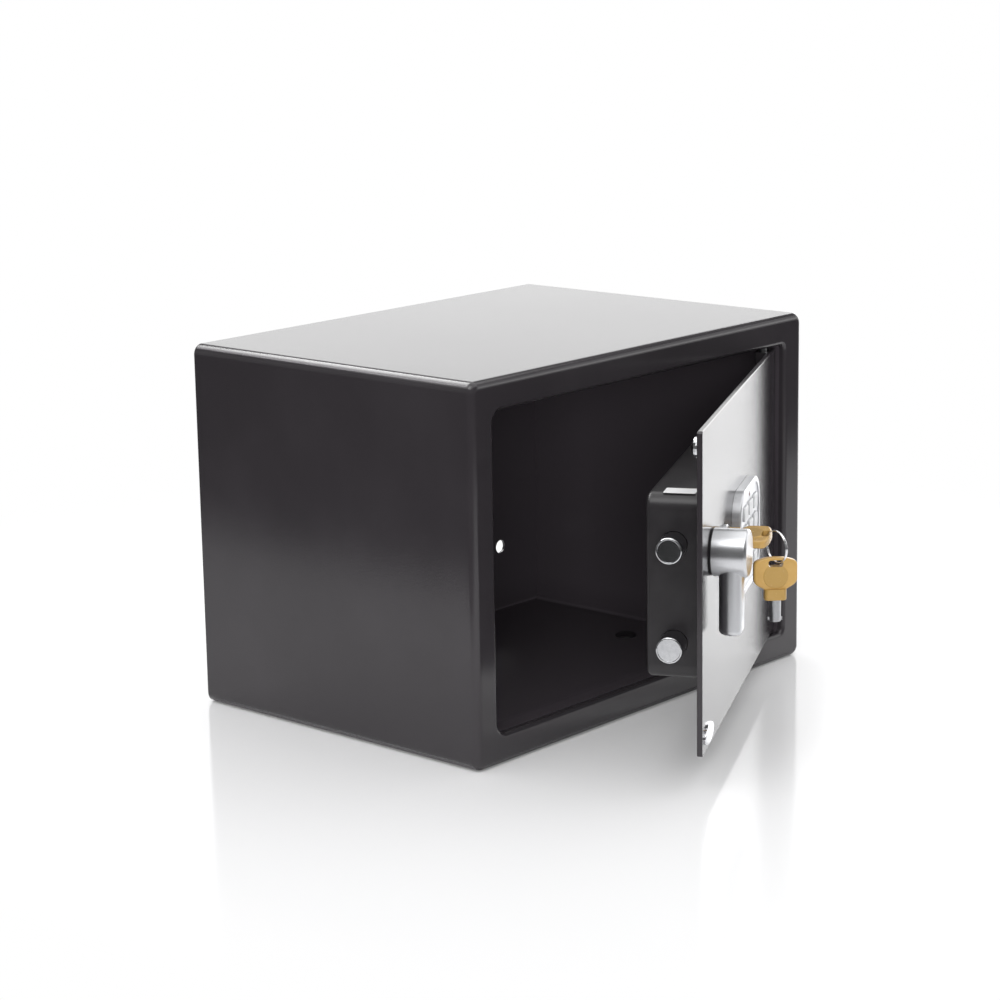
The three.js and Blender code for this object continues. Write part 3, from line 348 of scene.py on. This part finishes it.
cabinet = {
    "width": 350.0, "depth": 250.0, "height": 250.0, "sheet": 2.0, "corner": 7.0, "frontEdge": 5.0,
    "margin": 20.5, "openingCorners": (4.0, 8.0, 8.0, 4.0), "openingEdge": 3.0, "returnDepth": 19.0,
    "lockReturn": 13.5, "frameDepth": 8.0, "backEdge": 0.8, "anchor": 5.0, "plugRim": 8.0, "anchorX": 130.0,
    "anchorZ": 51.5, "pin": 3.3,
}
door = {
    "turn": 27.407, "hinge": (141.0, -115.5, 22.5), "pinX": 293.0, "pinY": 7.5,
    "width": 303.5, "height": 204.0, "thick": 3.5, "corner": 2.0, "edge": 0.6,
    "holes": ((4.9, 37.5, 121.3), (7.9, 80.0, 121.3), (6.0, 151.0, 105.25)),
}


def onDoor(points):
    # Door coordinates, which start at the foot of its free edge, turned about the hinge's axis
    c, s = math.cos(math.radians(door["turn"])), math.sin(math.radians(door["turn"]))
    u, w, z = points[..., 0] - door["pinX"], points[..., 1] - door["pinY"], points[..., 2]
    x, y, up = door["hinge"]
    return np.stack([x + u * c - w * s, y + u * s + w * c, up + z], -1)


def makeCabinet():
    # Three folded pieces (shell, back panel and front frame) and the plugs in the floor's holes
    c = cabinet
    half, front, back = c["width"] / 2, -c["depth"] / 2, c["depth"] / 2
    outer = (-half, half, 0.0, c["height"])
    sheet, corner = c["sheet"], c["corner"]
    seam, inner = front + c["frameDepth"], back - sheet
    # The shell's section: along the outside, then back along the inside, one sheet away
    section = roundLoop(outer, corner, [seam, inner, inner, seam], [0, 0, sheet, sheet], 10)
    shell = skin("cabinetShell", section, wrap=True)
    holes = [skin("hole", turnedRows([(c["anchor"], -1), (c["anchor"], sheet + 1)],
                                     (side * c["anchorX"], 0, 0), "z")) for side in (-1, 1)]
    dress(combine(shell, holes), "cabinet", "cabinetPaint", ["body_shell"])
    # A domed plug closes each hole in the floor: rim, crown, and a stem down through the sheet
    r, rim = c["anchor"], c["plugRim"]
    for side, label in ((-1, "Left"), (1, "Right")):
        profile = [(0, sheet + 1.5)] + arc(rim - 1.4, sheet + 0.1, 1.4, 90, 0, 6)
        profile += [(rim, sheet + 0.02), (r - 0.3, sheet + 0.02), (r - 0.3, 0.4), (0, 0.4)]
        rows = turnedRows(profile, (side * c["anchorX"], 0, 0), "z", 40)
        plug = skin(f"floorPlug{label}", rows, caps=False)
        dress(plug, "cabinet", "blackPlastic", sharp=40)
    # The back: a flat panel whose edge is broken by a small round
    turn = np.linspace(0, math.pi / 2, 5)
    depths = np.concatenate([[inner], back - c["backEdge"] * (1 - np.sin(turn))])
    insets = np.concatenate([[0], c["backEdge"] * (1 - np.cos(turn))])
    panel = skin("cabinetBack", roundLoop(outer, corner, depths, insets, 10))
    holes = [skin("hole", turnedRows([(c["anchor"], inner - 1), (c["anchor"], back + 1)],
                                     (side * c["anchorX"], 0, c["anchorZ"]), "y")) for side in (-1, 1)]
    dress(combine(panel, holes), "cabinet", "cabinetPaint", ["back_panel"])
    # The frame: outside edge, rounded front, flat margin, rounded opening, return, and back again
    turn = np.linspace(0, math.pi / 2, 9)
    edge, lip = c["frontEdge"], c["openingEdge"]
    rows = [
        roundLoop(outer, corner, seam, 0, 10),
        roundLoop(outer, corner, front + edge * (1 - np.sin(turn)), edge * (1 - np.cos(turn)), 10),
    ]
    opening = (-half + c["margin"], half - c["margin"], c["margin"], c["height"] - c["margin"])
    radii = c["openingCorners"]
    rows.append(roundLoop(opening, radii, front + lip * (1 - np.cos(turn)), -lip * (1 - np.sin(turn)), 10))
    end = front + c["returnDepth"]
    rows.append(roundLoop(opening, radii, [end, end, front + sheet + 1, front + sheet],
                          [0, -sheet, -sheet, -sheet - 1], 10))
    rows.append(roundLoop(outer, corner, [front + sheet, front + sheet + 3, seam],
                          [sheet + 3, sheet, sheet], 10))
    frameSkin = skin("frontFrame", np.concatenate(rows), wrap=True)
    free = -half + c["margin"]
    relief = skin("relief", roundLoop((free - sheet - 1, free + 8, c["margin"] - sheet - 1,
                                       c["height"] - c["margin"] + sheet + 1), 0.1,
                                      [front + c["lockReturn"], front + c["returnDepth"] + 1], 0, 1))
    x, y = door["hinge"][:2]
    pins = [skin("pin", turnedRows([(c["pin"], low), (c["pin"], low + sheet + 2)], (x, y, 0), "z"))
            for low in (c["margin"] - sheet - 1, c["height"] - c["margin"] - 1)]
    dress(combine(frameSkin, [relief, *pins]), "cabinet", "cabinetPaint", ["front_frame"])


makeCabinet()
print("cabinet made")


# Door plate and lock case

lockCase = {
    "box": (20.5, 212.0, 42.5, 160.0), "front": 3.8, "back": 39.2, "wall": 1.5, "corner": 10.0, "edge": 3.6,
    "tray": (136.0, 201.0, 67.5, 125.5), "trayCorner": 2.0,
}
bolts = {
    "radius": 8.4, "rim": 1.1, "dish": 0.3, "tip": 2.5, "w": 21.2, "heights": (66.4, 128.9), "clear": 0.2,
    "shoulder": 48.0, "neck": 4.0, "end": 54.3,
}


def makeDoor():
    # A plate with a small round along its edges, and holes for the spindle, the lock and the keypad's wires
    d = door
    box = (0.0, d["width"], 0.0, d["height"])
    turn = np.linspace(0, math.pi / 2, 4)
    frontDepths, frontInsets = d["edge"] * (1 - np.sin(turn)), d["edge"] * (1 - np.cos(turn))
    rows = roundLoop(box, d["corner"], np.concatenate([frontDepths[::-1], d["thick"] - frontDepths]),
                     np.concatenate([frontInsets[::-1], frontInsets]), 6)
    plate = skin("doorPlate", rows, onDoor)
    holes = [skin("hole", turnedRows([(r, -1), (r, d["thick"] + 1)], (u, 0, z), "y", 40), onDoor)
             for r, u, z in d["holes"]]
    dress(combine(plate, holes), "door", "paint", ["door_plate"])


def makeCase():
    # A drawn cover: its section runs up the inside, over the rounded back, and down the outside
    c = lockCase
    turn = np.linspace(0, math.pi / 2, 9)

    def wall(inset, edge):
        depths = np.concatenate([[c["front"]], c["back"] - inset - edge * (1 - np.sin(turn))])
        insets = np.concatenate([[inset], inset + edge * (1 - np.cos(turn))])
        return roundLoop(c["box"], c["corner"], depths, insets, 10)

    rows = np.concatenate([wall(c["wall"], c["edge"] - c["wall"])[::-1], wall(0, c["edge"])])
    case = skin("lockCase", rows, onDoor)
    left = c["box"][0]
    tools = [skin("hole", turnedRows([(bolts["radius"] + bolts["clear"], left - 1),
                                      (bolts["radius"] + bolts["clear"], left + c["wall"] + 1)],
                                     (0, bolts["w"], z), "x", 64), onDoor) for z in bolts["heights"]]
    through = [c["back"] - c["wall"] - 1, c["back"] + 1]
    tools.append(skin("tray", roundLoop(c["tray"], c["trayCorner"], through, 0, 6), onDoor))
    dress(combine(case, tools), "door", "blackPlastic", ["lock_case"])


def makeBolts():
    # A turned bolt: dished tip inside a small round rim, plain barrel, and the neck that its flange holds
    b = bolts
    r, tip = b["radius"], b["tip"]
    for name, node, z in zip(("boltLower", "boltUpper"), ("bolt_lower", "bolt_upper"), b["heights"]):
        profile = [(0, tip + b["dish"]), (r - b["rim"] - 0.3, tip + b["dish"]),
                   (r - b["rim"] - 0.2, tip + 0.05)]
        profile += arc(r - b["rim"], tip + b["rim"], b["rim"], -90, 0, 8)
        profile += [(r, b["shoulder"]), (b["neck"], b["shoulder"]), (b["neck"], b["end"]), (0, b["end"])]
        piece = skin(name, turnedRows(profile, (0, b["w"], z), "x", 72), onDoor, caps=False)
        dress(piece, "boltwork", "bolt", [node], sharp=25)


smallTrim = {
    "label": (26.0, 40.0, 9.0, 29.0), "labelRise": 0.12,
    "plate": (5.0, 36.0, 3.5, 16.0), "plateProud": 1.8, "plateSide": 0.55, "plateDraw": 0.315,
}


def makeTrim():
    # A bare paper label on top of the case, and a plain oval plate low on the door's front
    t = smallTrim
    top = lockCase["box"][3]
    sheetRows = roundLoop(t["label"], 1.0, [top + 0.01, top + t["labelRise"]], 0, 4)[..., [0, 2, 1]]
    dress(skin("plainLabel", sheetRows, onDoor), "door", "label")
    # The oval has a straight side, then a crown that rises as a sine while it draws in as a cosine
    x0, x1, z0, z1 = t["plate"]
    side, proud = t["plateSide"], t["plateProud"]
    turn = np.linspace(0, 2 * math.pi, 64, endpoint=False)
    rise = np.linspace(0, math.pi / 2, 7)[:, None]
    reach = np.concatenate([[[1.0], [1.0]], 1 - t["plateDraw"] * (1 - np.cos(rise))])
    depth = np.concatenate([[[-0.02], [-proud * side]], -proud * (side + (1 - side) * np.sin(rise))])
    x = (x0 + x1) / 2 + (x1 - x0) / 2 * reach * np.cos(turn)
    z = (z0 + z1) / 2 + (z1 - z0) / 2 * reach * np.sin(turn)
    oval = np.stack([x, np.broadcast_to(depth, x.shape), z], -1)
    dress(skin("ovalPlate", oval, onDoor), "door", "bright")


makeTrim()
makeDoor()
makeCase()
makeBolts()
print("door made")


# Handle

handle = {
    "u": 37.5, "z": 121.3, "hub": 15.0, "front": -23.0, "back": -1.1, "edge": 1.95, "spacer": 14.6,
    "lever": (26.0, 46.4, -19.3, -4.55), "leverRound": (8.0, 8.0, 5.6, 6.6), "reach": 51.0, "leverEnd": 3.2,
}


def makeHandle():
    # One casting of hub and lever, over a flat ring that keeps it off the door
    h = handle
    centre = (h["u"], 0, h["z"])
    profile = [(0, h["front"])] + arc(h["hub"] - h["edge"], h["front"] + h["edge"], h["edge"], -90, 0, 8)
    profile += [(h["hub"], h["back"]), (0, h["back"])]
    hub = skin("hub", turnedRows(profile, centre, "y", 96), onDoor, caps=False)
    # The lever: a section with round corners, carried down from the hub and drawn in to a rounded end
    turn = np.linspace(0, math.pi / 2, 9)
    heights = np.concatenate([[0.0], -h["reach"] + h["leverEnd"] * (1 - np.sin(turn))])
    shrink = np.concatenate([[0.0], h["leverEnd"] * (1 - np.cos(turn))])
    section = roundLoop(h["lever"], h["leverRound"], h["z"] + heights, shrink, 12)
    lever = skin("lever", section[..., [0, 2, 1]], onDoor)
    gather(hub, [lever])
    hub.name = "handleCasting"
    dress(hub, "handle", "satin", ["handle"], sharp=40)
    ring = [(4.3, -0.9), (h["spacer"] - 0.2, -0.9), (h["spacer"], -0.7), (h["spacer"], -0.3), (4.3, -0.3)]
    spacer = skin("handleSpacer", turnedRows(ring, centre, "y", 72), onDoor, wrap=True)
    dress(spacer, "door", "blackPlastic", ["handle_spacer"])


makeHandle()
print("handle made")


# Keypad

keypad = {
    "box": (110.0, 192.0, 70.5, 140.0), "centre": (151.0, 104.95), "front": -6.3, "back": -0.1,
    "corner": 19.0, "edge": 1.3, "rim": 4.0, "field": -5.3, "fieldBack": -3.6, "wall": 2.2,
    "button": (15.0, 9.0), "buttonCorner": 2.0, "buttonEdge": 0.8, "pitch": (20.0, 13.0), "clear": 0.3,
    "cap": -6.8, "flange": -2.9, "lens": 1.6, "lensZ": 132.75,
}


def buttonBox(column, row, extra=0.0):
    # The button's rectangle from its place in the grid, where the middle of the grid is 0, 0
    x = keypad["centre"][0] + column * keypad["pitch"][0]
    z = keypad["centre"][1] + row * keypad["pitch"][1]
    w, h = keypad["button"][0] / 2 + extra, keypad["button"][1] / 2 + extra
    return x - w, x + w, z - h, z + h


def makeKeypad():
    # The bezel's section runs from the sunk panel over the rim, round the outer edge and back inside
    k = keypad
    turn = np.linspace(math.pi / 2, 0, 7)
    depths = np.concatenate([[k["field"], k["front"] + 0.3, k["front"]],
                             k["front"] + k["edge"] * (1 - np.sin(turn)),
                             [k["back"], k["back"], k["fieldBack"]]])
    insets = np.concatenate([[k["rim"], k["rim"], k["rim"] - 0.4],
                             k["edge"] * (1 - np.cos(turn)), [0, k["wall"], k["wall"]]])
    bezel = skin("keypadBezel", roundLoop(k["box"], k["corner"], depths, insets, 12), onDoor)
    cells = [(column, row) for row in (1.5, 0.5, -0.5, -1.5) for column in (-1, 0, 1)]
    tools = [skin("cell", roundLoop(buttonBox(*cell, k["clear"]), k["buttonCorner"] + k["clear"],
                                    [k["field"] - 1, k["fieldBack"] + 1], 0, 5), onDoor) for cell in cells]
    tools.append(skin("cell", turnedRows([(k["lens"] + k["clear"], k["field"] - 1),
                                          (k["lens"] + k["clear"], k["fieldBack"] + 1)],
                                         (k["centre"][0], 0, k["lensZ"]), "y", 24), onDoor))
    dress(combine(bezel, tools), "door", "silverCoat", ["keypad_bezel"], sharp=28)
    names = ["1", "2", "3", "4", "5", "6", "7", "8", "9", "left", "0", "right"]
    # A button: a rounded cap over straight sides, with a flange behind the panel that keeps it in
    turn = np.linspace(0, math.pi / 2, 5)
    edge, flange = k["buttonEdge"], k["flange"]
    depths = np.concatenate([k["cap"] + edge * (1 - np.cos(turn)), [flange, flange, flange + 0.8]])
    insets = np.concatenate([edge * (1 - np.sin(turn)), [0, -1, -1]])
    for cell, label in zip(cells, names):
        rows = roundLoop(buttonBox(*cell), k["buttonCorner"], depths, insets, 5)
        cap = skin(f"button{label.capitalize()}", rows, onDoor)
        dress(cap, f"key_{label}", "buttonPlastic", [f"button_{label}"])


makeKeypad()
print("keypad made")


# Key override, keys and ring

keys = {
    "width": 27.8, "head": 21.3, "thick": 5.4, "round": 1.5, "shoulder": (14.0, 8.8, 6.2),
    "shoulderCorner": 2.8, "shoulderEdge": 0.7, "slot": (9.4, 4.2), "endBar": 1.7, "disc": 8.0,
    "discRise": 0.4, "discDrop": 1.4, "shaft": 3.8, "bore": 2.6, "shaftLength": 14.0, "inHead": 6.0,
    "lug": (0.9, 1.6, 2.0),
}


def bezier(points, steps=10):
    # Points of a curve from its four control points, by the cubic Bernstein weights
    t = np.linspace(0, 1, steps, endpoint=False)[:, None]
    a, b, c, d = (np.array(p, float) for p in points)
    return (1 - t) ** 3 * a + 3 * t * (1 - t) ** 2 * b + 3 * t ** 2 * (1 - t) * c + t ** 3 * d


def headOutline():
    # The head's outline from its neck round the right side to the middle of its top, then mirrored
    k = keys
    half, neck = k["width"] / 2, k["shoulder"][0] / 2
    low = k["shoulder"][2]
    top = low + k["head"]
    right = np.concatenate([
        bezier([(neck - 0.6, low - 0.8), (neck - 0.3, low + 0.3),
                (neck + 0.3, low + 0.9), (neck + 1, low + 1.2)], 4),
        bezier([(neck + 1, low + 1.2), (half - 2.2, low + 3.2), (half, low + 4.4), (half, low + 8)], 12),
        bezier([(half, low + 8), (half, low + 11), (half, top - 8), (half, top - 5.6)], 4),
        bezier([(half, top - 5.6), (half, top - 2.6), (half - 2.2, top - 1.7), (half - 5, top - 1.1)], 10),
        bezier([(half - 5, top - 1.1), (half / 2 + 0.2, top - 0.3), (half / 4, top), (0, top)], 8),
    ])
    left = right[::-1] * (-1, 1)
    return np.concatenate([right, [(0, top)], left])


def offsetRows(outline, depths, insets):
    # Copies of a closed outline at several depths, each moved inward along its own normals
    ahead, behind = np.roll(outline, -1, 0), np.roll(outline, 1, 0)
    along = ahead - behind
    along /= np.linalg.norm(along, axis=1, keepdims=True)
    inward = np.stack([-along[:, 1], along[:, 0]], -1)
    moved = outline[None] + np.asarray(insets)[:, None, None] * inward[None]
    depth = np.broadcast_to(np.asarray(depths, float)[:, None], moved.shape[:2])
    return np.stack([moved[..., 0], depth, moved[..., 1]], -1)


def makeKeyHead(name, place):
    # A plate whose edge is a quarter round on each side, joined to a shoulder and a disc, then cut by
    # the ring's slot and the shaft's bore
    k = keys
    thick, r = k["thick"] / 2, k["round"]
    turn = np.linspace(0, math.pi / 2, 7)
    side = thick - r * (1 - np.cos(turn))
    inset = r * (1 - np.sin(turn))
    sides, insets = np.concatenate([-side, side[::-1]]), np.concatenate([inset, inset[::-1]])
    head = skin(name, offsetRows(headOutline(), sides, insets), place)
    wide, deep, tall = k["shoulder"]
    corner = np.linspace(math.pi / 2, 0, 5)
    edge = k["shoulderEdge"]
    plan = roundLoop((-wide / 2, wide / 2, -deep / 2, deep / 2), k["shoulderCorner"],
                     np.concatenate([edge * (1 - np.sin(corner)), [tall + 1]]),
                     np.concatenate([edge * (1 - np.cos(corner)), [0]]), 8)
    shoulder = skin("shoulder", plan[..., [0, 2, 1]], place)
    discZ = k["shoulder"][2] + k["head"] / 2 - k["discDrop"]
    rise = thick + k["discRise"]
    disc = skin("disc", turnedRows([(0, -rise), (k["disc"] - 0.4, -rise), (k["disc"], -rise + 0.3),
                                    (k["disc"], rise - 0.3), (k["disc"] - 0.4, rise), (0, rise)],
                                   (0, 0, discZ), "y", 56), place, caps=False)
    combine(head, [shoulder, disc], "UNION")
    top = k["shoulder"][2] + k["head"]
    slotZ = top - k["endBar"] - k["slot"][1] / 2
    slot = skin("slot", roundLoop((-k["slot"][0] / 2, k["slot"][0] / 2, slotZ - k["slot"][1] / 2,
                                   slotZ + k["slot"][1] / 2), 1.6, [-thick - 2, thick + 2], 0, 8), place)
    bore = skin("bore", turnedRows([(k["shaft"] + 0.15, -1), (k["shaft"] + 0.15, k["inHead"] + 0.3)],
                                   (0, 0, 0), "z", 40), place)
    combine(head, [slot, bore])
    # The attribute is 1 on the flat of the disc, which stands above the head's own face, and 0 elsewhere
    points = np.zeros(len(head.data.vertices) * 3)
    head.data.vertices.foreach_get("co", points)
    middle, outward = place(np.array([[0, 0, discZ], [0, 1.0, discZ]]))
    height = np.abs((points.reshape(-1, 3) * 1000 - middle) @ (outward - middle))
    raised = head.data.attributes.new("disc", "FLOAT", "POINT")
    raised.data.foreach_set("value", (height > thick + k["discRise"] / 2).astype(float))
    return head


def makeKeyShaft(name, place, lugs=()):
    # A turned tube, with a round-cornered lug on each side named that stands out near its tip
    k = keys
    end = -k["shaftLength"]
    r, bore = k["shaft"], k["bore"]
    profile = [(0, k["inHead"]), (r, k["inHead"]), (r, end + 0.5), (r - 0.15, end + 0.15), (r - 0.5, end),
               (bore + 0.2, end), (bore, end + 0.2), (bore, 0), (0, 0)]
    shaft = skin(name, turnedRows(profile, (0, 0, 0), "z", 48), place, caps=False)
    reach, wide = r + k["lug"][0], k["lug"][1] / 2
    boxes = [(r - 0.4, reach) if side > 0 else (-reach, 0.4 - r) for side in lugs]
    turn = np.linspace(0, math.pi / 2, 4)
    heights = end + 0.6 + np.concatenate([0.3 * (1 - np.sin(turn)), [k["lug"][2]]])[::-1]
    insets = np.concatenate([0.3 * (1 - np.cos(turn)), [0.0]])[::-1]
    plans = [roundLoop((*box, -wide, wide), 0.3, heights, insets, 4)[..., [0, 2, 1]] for box in boxes]
    return gather(shaft, [skin("lug", plan, place) for plan in plans])


def keyPlace(across, along, origin):
    # A key's own x, y and z laid along across, through and along, then put on the door
    across, along = np.array(across, float), np.array(along, float)
    basis = np.stack([across, np.cross(along, across), along])
    return lambda points: onDoor(points @ basis + np.array(origin, float))


ring = {
    "centre": (72.17, -34.61, 117.55), "normal": (0.715, -0.697, 0.045), "radius": 10.21, "wire": 0.85,
    "spareTurn": 19.0, "slack": 1.15, "aside": 1.2,
}
lockFace = {
    "u": 80.0, "z": 121.3, "keyStand": -2.7, "tilt": 8.0, "core": 6.5, "nose": 7.4, "front": -2.4,
    "barrel": 9.3, "back": 16.0,
}


def makeLock():
    # A round nose through the door, and the wider barrel that its nut holds behind it
    f = lockFace
    core, nose, front, seat = f["core"], f["nose"], f["front"], door["thick"] + 0.3
    profile = [(core, front + 0.2), (core + 0.2, front), (nose - 0.4, front), (nose, front + 0.4),
               (nose, seat), (f["barrel"], seat), (f["barrel"], f["back"]), (core, f["back"])]
    barrel = skin("lockBarrel", turnedRows(profile, (f["u"], 0, f["z"]), "y", 64), onDoor, wrap=True)
    dress(barrel, "door", "satin", ["lock_barrel"])


def makeKeys():
    # One key stands in the lock. The other hangs from the foot of the ring through both heads' slots.
    k = keys
    tilt = math.radians(lockFace["tilt"])
    inserted = keyPlace((math.cos(tilt), 0, math.sin(tilt)), (0, -1, 0),
                        (lockFace["u"], lockFace["keyStand"], lockFace["z"]))
    normal = np.array(ring["normal"]) / np.linalg.norm(ring["normal"])
    rise = np.array([0, 0, 1.0]) - normal[2] * normal
    rise /= np.linalg.norm(rise)
    bottom = np.array(ring["centre"]) - rise * ring["radius"]
    turn = math.radians(ring["spareTurn"])
    across = np.array([math.sin(turn), -math.cos(turn), 0])
    slotZ = k["shoulder"][2] + k["head"] - k["endBar"] - k["slot"][1] / 2
    drop = ring["wire"] + ring["slack"] - k["slot"][1] / 2 - slotZ
    origin = bottom - across * ring["aside"] + np.array([0, 0, drop])
    spare = keyPlace(across, (0, 0, 1), origin)
    for label, body, place, lugs in (("key", "override_key", inserted, ()),
                                     ("spare", "spare_key", spare, (-1, 1))):
        head = makeKeyHead(f"{label}Head", place)
        dress(head, body, "keyPlastic", [f"{label}_head"], sharp=35)
        shaft = makeKeyShaft(f"{label}Shaft", place, lugs)
        dress(shaft, body, "steel", [f"{label}_shaft"])
    # The split ring: a round wire carried along two turns that pass from one side of the ring to the other
    t = np.linspace(0, 4 * math.pi, 193)
    wire = ring["wire"] * 0.5
    side = np.cross(normal, rise)
    slide = wire * np.tanh((t - 2 * math.pi) * 2.2)
    radial = np.cos(t)[:, None] * rise + np.sin(t)[:, None] * side
    section = np.linspace(0, 2 * math.pi, 16, endpoint=False)
    centreLine = np.array(ring["centre"]) + radial * ring["radius"] + slide[:, None] * normal
    around = (np.cos(section)[None, :, None] * radial[:, None] * 0.8
              + np.sin(section)[None, :, None] * normal) * wire * 0.98
    piece = skin("splitRing", centreLine[:, None] + around, onDoor)
    dress(piece, "split_ring", "bright", ["key_ring"], sharp=50)


makeLock()
makeKeys()
print("keys made")


# The other nodes keep their solids and take a finish each

kept = {
    "paint": ["hinge_lug_top", "hinge_lug_bottom"],
    "bolt": ["door_stud"],
    "steel": ["hinge_pin_top", "hinge_pin_bottom", "bolt_guide", "guide_post_upper", "guide_post_lower",
              "solenoid_bracket", "handle_spindle", "handle_crank", "bolt_carriage", "solenoid_plunger",
              "lock_cam"],
    "brass": ["lock_nut"],
    "satin": ["lock_core"],
    "circuitBoard": ["control_board", "keypad_board"],
    "copperCoil": ["solenoid_coil"],
    "wrap": ["battery_1", "battery_2", "battery_3", "battery_4"],
    "blackPlastic": ["battery_tray", "battery_lid"],
    "lens": ["indicator_lens"],
}
for finish, names in kept.items():
    for name in names:
        for place in cadNodes[name].material_slots:
            place.material = finishes[finish]
print("inner nodes finished")


# Floor, light and camera

studio = {
    "floorEdge": [(-0.52, -0.95), (0.2, -0.95), (0.3, -0.62), (0.9, -0.5),
                  (6.0, -0.5), (6.0, 6.0), (-0.52, 6.0)],
    "floorTone": (247, 247, 248), "floorRoughness": 0.11, "fade": (0.26, 0.7), "near": 0.12,
    "below": 0.035, "dim": 0.16, "bright": 0.95, "brightSide": (0.78, 0.62, 0.0),
}


def makeStudio():
    mesh = bpy.data.meshes.new("floor")
    mesh.from_pydata([(x, y, 0) for x, y in studio["floorEdge"]], [],
                     [tuple(range(len(studio["floorEdge"])))])
    floor = bpy.data.objects.new("floor", mesh)
    scene.collection.objects.link(floor)
    f = Finish("floorWhite")
    # Away from the safe the camera sees plain white; near it the floor is shaded and keeps the shadow
    away = f.node("ShaderNodeVectorMath", {"operation": "LENGTH"}, {0: f.where()}, 1)
    camera = f.node("ShaderNodeLightPath", {}, {}, "Is Camera Ray")
    side = f.node("ShaderNodeSeparateXYZ", {}, {0: f.where()})
    shaded = f.node("ShaderNodeBsdfPrincipled", {}, {
        "Base Color": colour(*studio["floorTone"]), "Roughness": studio["floorRoughness"]})
    white = f.node("ShaderNodeEmission", {}, {"Color": (1, 1, 1, 1), "Strength": 1.0})
    toned = (1 - away.spread(*studio["fade"])) * (side - studio["floorEdge"][0][0]).spread(0, 0.12)
    share = 1 - toned * (1 - studio["near"])
    both = f.node("ShaderNodeMixShader", {}, {0: camera * share, 1: shaded, 2: white})
    f.node("ShaderNodeOutputMaterial", {}, {"Surface": both})
    mesh.materials.append(f.owner)
    # The world is white to the camera. To everything else it is a studio that is bright behind and
    # to the right of the safe, and dim on the side where the camera stands.
    world = bpy.data.worlds.new("studioWorld")
    scene.world = world
    w = Finish("world", world)
    seen = w.node("ShaderNodeLightPath", {}, {}, "Is Camera Ray")
    direction = w.node("ShaderNodeTexCoord", {}, {}, "Generated")
    behind, above = (w.node("ShaderNodeVectorMath", {"operation": "DOT_PRODUCT"}, {0: direction, 1: way}, 1)
                     for way in (studio["brightSide"], (0, 0, 1)))
    level = behind.spread(-0.25, 0.45) * (1 - above.spread(0.34, 0.46)) * (studio["bright"] - studio["dim"])
    level = (level + studio["dim"] - studio["below"]) * above.spread(-0.12, 0.0) + studio["below"]
    backdrop = w.node("ShaderNodeBackground", {}, {"Color": (1, 1, 1, 1),
                                                   "Strength": level * (1 - seen) + seen})
    w.node("ShaderNodeOutputWorld", {}, {"Surface": backdrop})
    # Each lamp: name, place, aim, width, height, power, whether it is mirrored, whether it lights surfaces
    lamps = [
        ("overhead", (-0.1, 0.1, 1.7), (-0.1, 0.1, 0.0), 3.2, 3.2, 44.0, True, True),
        ("behind", (1.5, 1.35, 0.58), (0, 0, 0.2), 2.6, 0.5, 2.6, True, True),
        ("right", (2.02, 0.36, 0.55), (0.1, 0, 0.15), 1.3, 1.1, 10.5, True, True),
        ("rightFront", (1.5, -1.0, 0.9), (0, -0.1, 0.2), 1.2, 1.0, 2.8, True, True),
        ("left", (-0.95, -0.3, 1.6), (0, -0.1, 0.15), 0.95, 0.95, 6.6, True, True),
        ("backStrip", (-0.1, 1.25, 1.55), (-0.1, 0, 0.25), 1.5, 0.5, 16.0, True, False),
        ("lowStrip", (1.6, -1.5, 0.72), (0, -0.1, 0.25), 1.6, 0.3, 1.2, True, False),
        ("cameraSide", (-2.7, -2.35, 0.6), (0, 0, 0.12), 1.2, 1.2, 66.0, False, True),
    ]
    for name, at, towards, wide, tall, power, mirrored, lights in lamps:
        data = bpy.data.lights.new(name, "AREA")
        data.shape = "RECTANGLE"
        data.size, data.size_y, data.energy = wide, tall, power
        lamp = bpy.data.objects.new(name, data)
        scene.collection.objects.link(lamp)
        lamp.location = at
        lamp.rotation_euler = (Vector(towards) - Vector(at)).to_track_quat("-Z", "Y").to_euler()
        lamp.visible_camera = False
        lamp.visible_glossy = mirrored
        lamp.visible_diffuse = lights


view = {"at": (-1.38338, -1.21659, 0.54623), "azimuth": 48.494, "down": 12.77, "roll": -0.952, "lens": 97.5}


def makeCamera():
    # The line of sight comes from the azimuth and the angle down, and the roll turns the frame about it
    data = bpy.data.cameras.new("camera")
    data.sensor_fit = "HORIZONTAL"
    data.sensor_width = 36.0
    data.lens = view["lens"]
    data.clip_start, data.clip_end = 0.05, 50.0
    camera = bpy.data.objects.new("camera", data)
    scene.collection.objects.link(camera)
    az, el, roll = (math.radians(view[key]) for key in ("azimuth", "down", "roll"))
    ahead = Vector((math.cos(el) * math.sin(az), math.cos(el) * math.cos(az), -math.sin(el)))
    right = ahead.cross(Vector((0, 0, 1))).normalized()
    up = right.cross(ahead)
    right, up = right * math.cos(roll) + up * math.sin(roll), up * math.cos(roll) - right * math.sin(roll)
    turned = Matrix((right, up, -ahead)).transposed().to_4x4()
    camera.matrix_world = Matrix.Translation(view["at"]) @ turned
    scene.camera = camera


makeStudio()
makeCamera()
print("studio made")
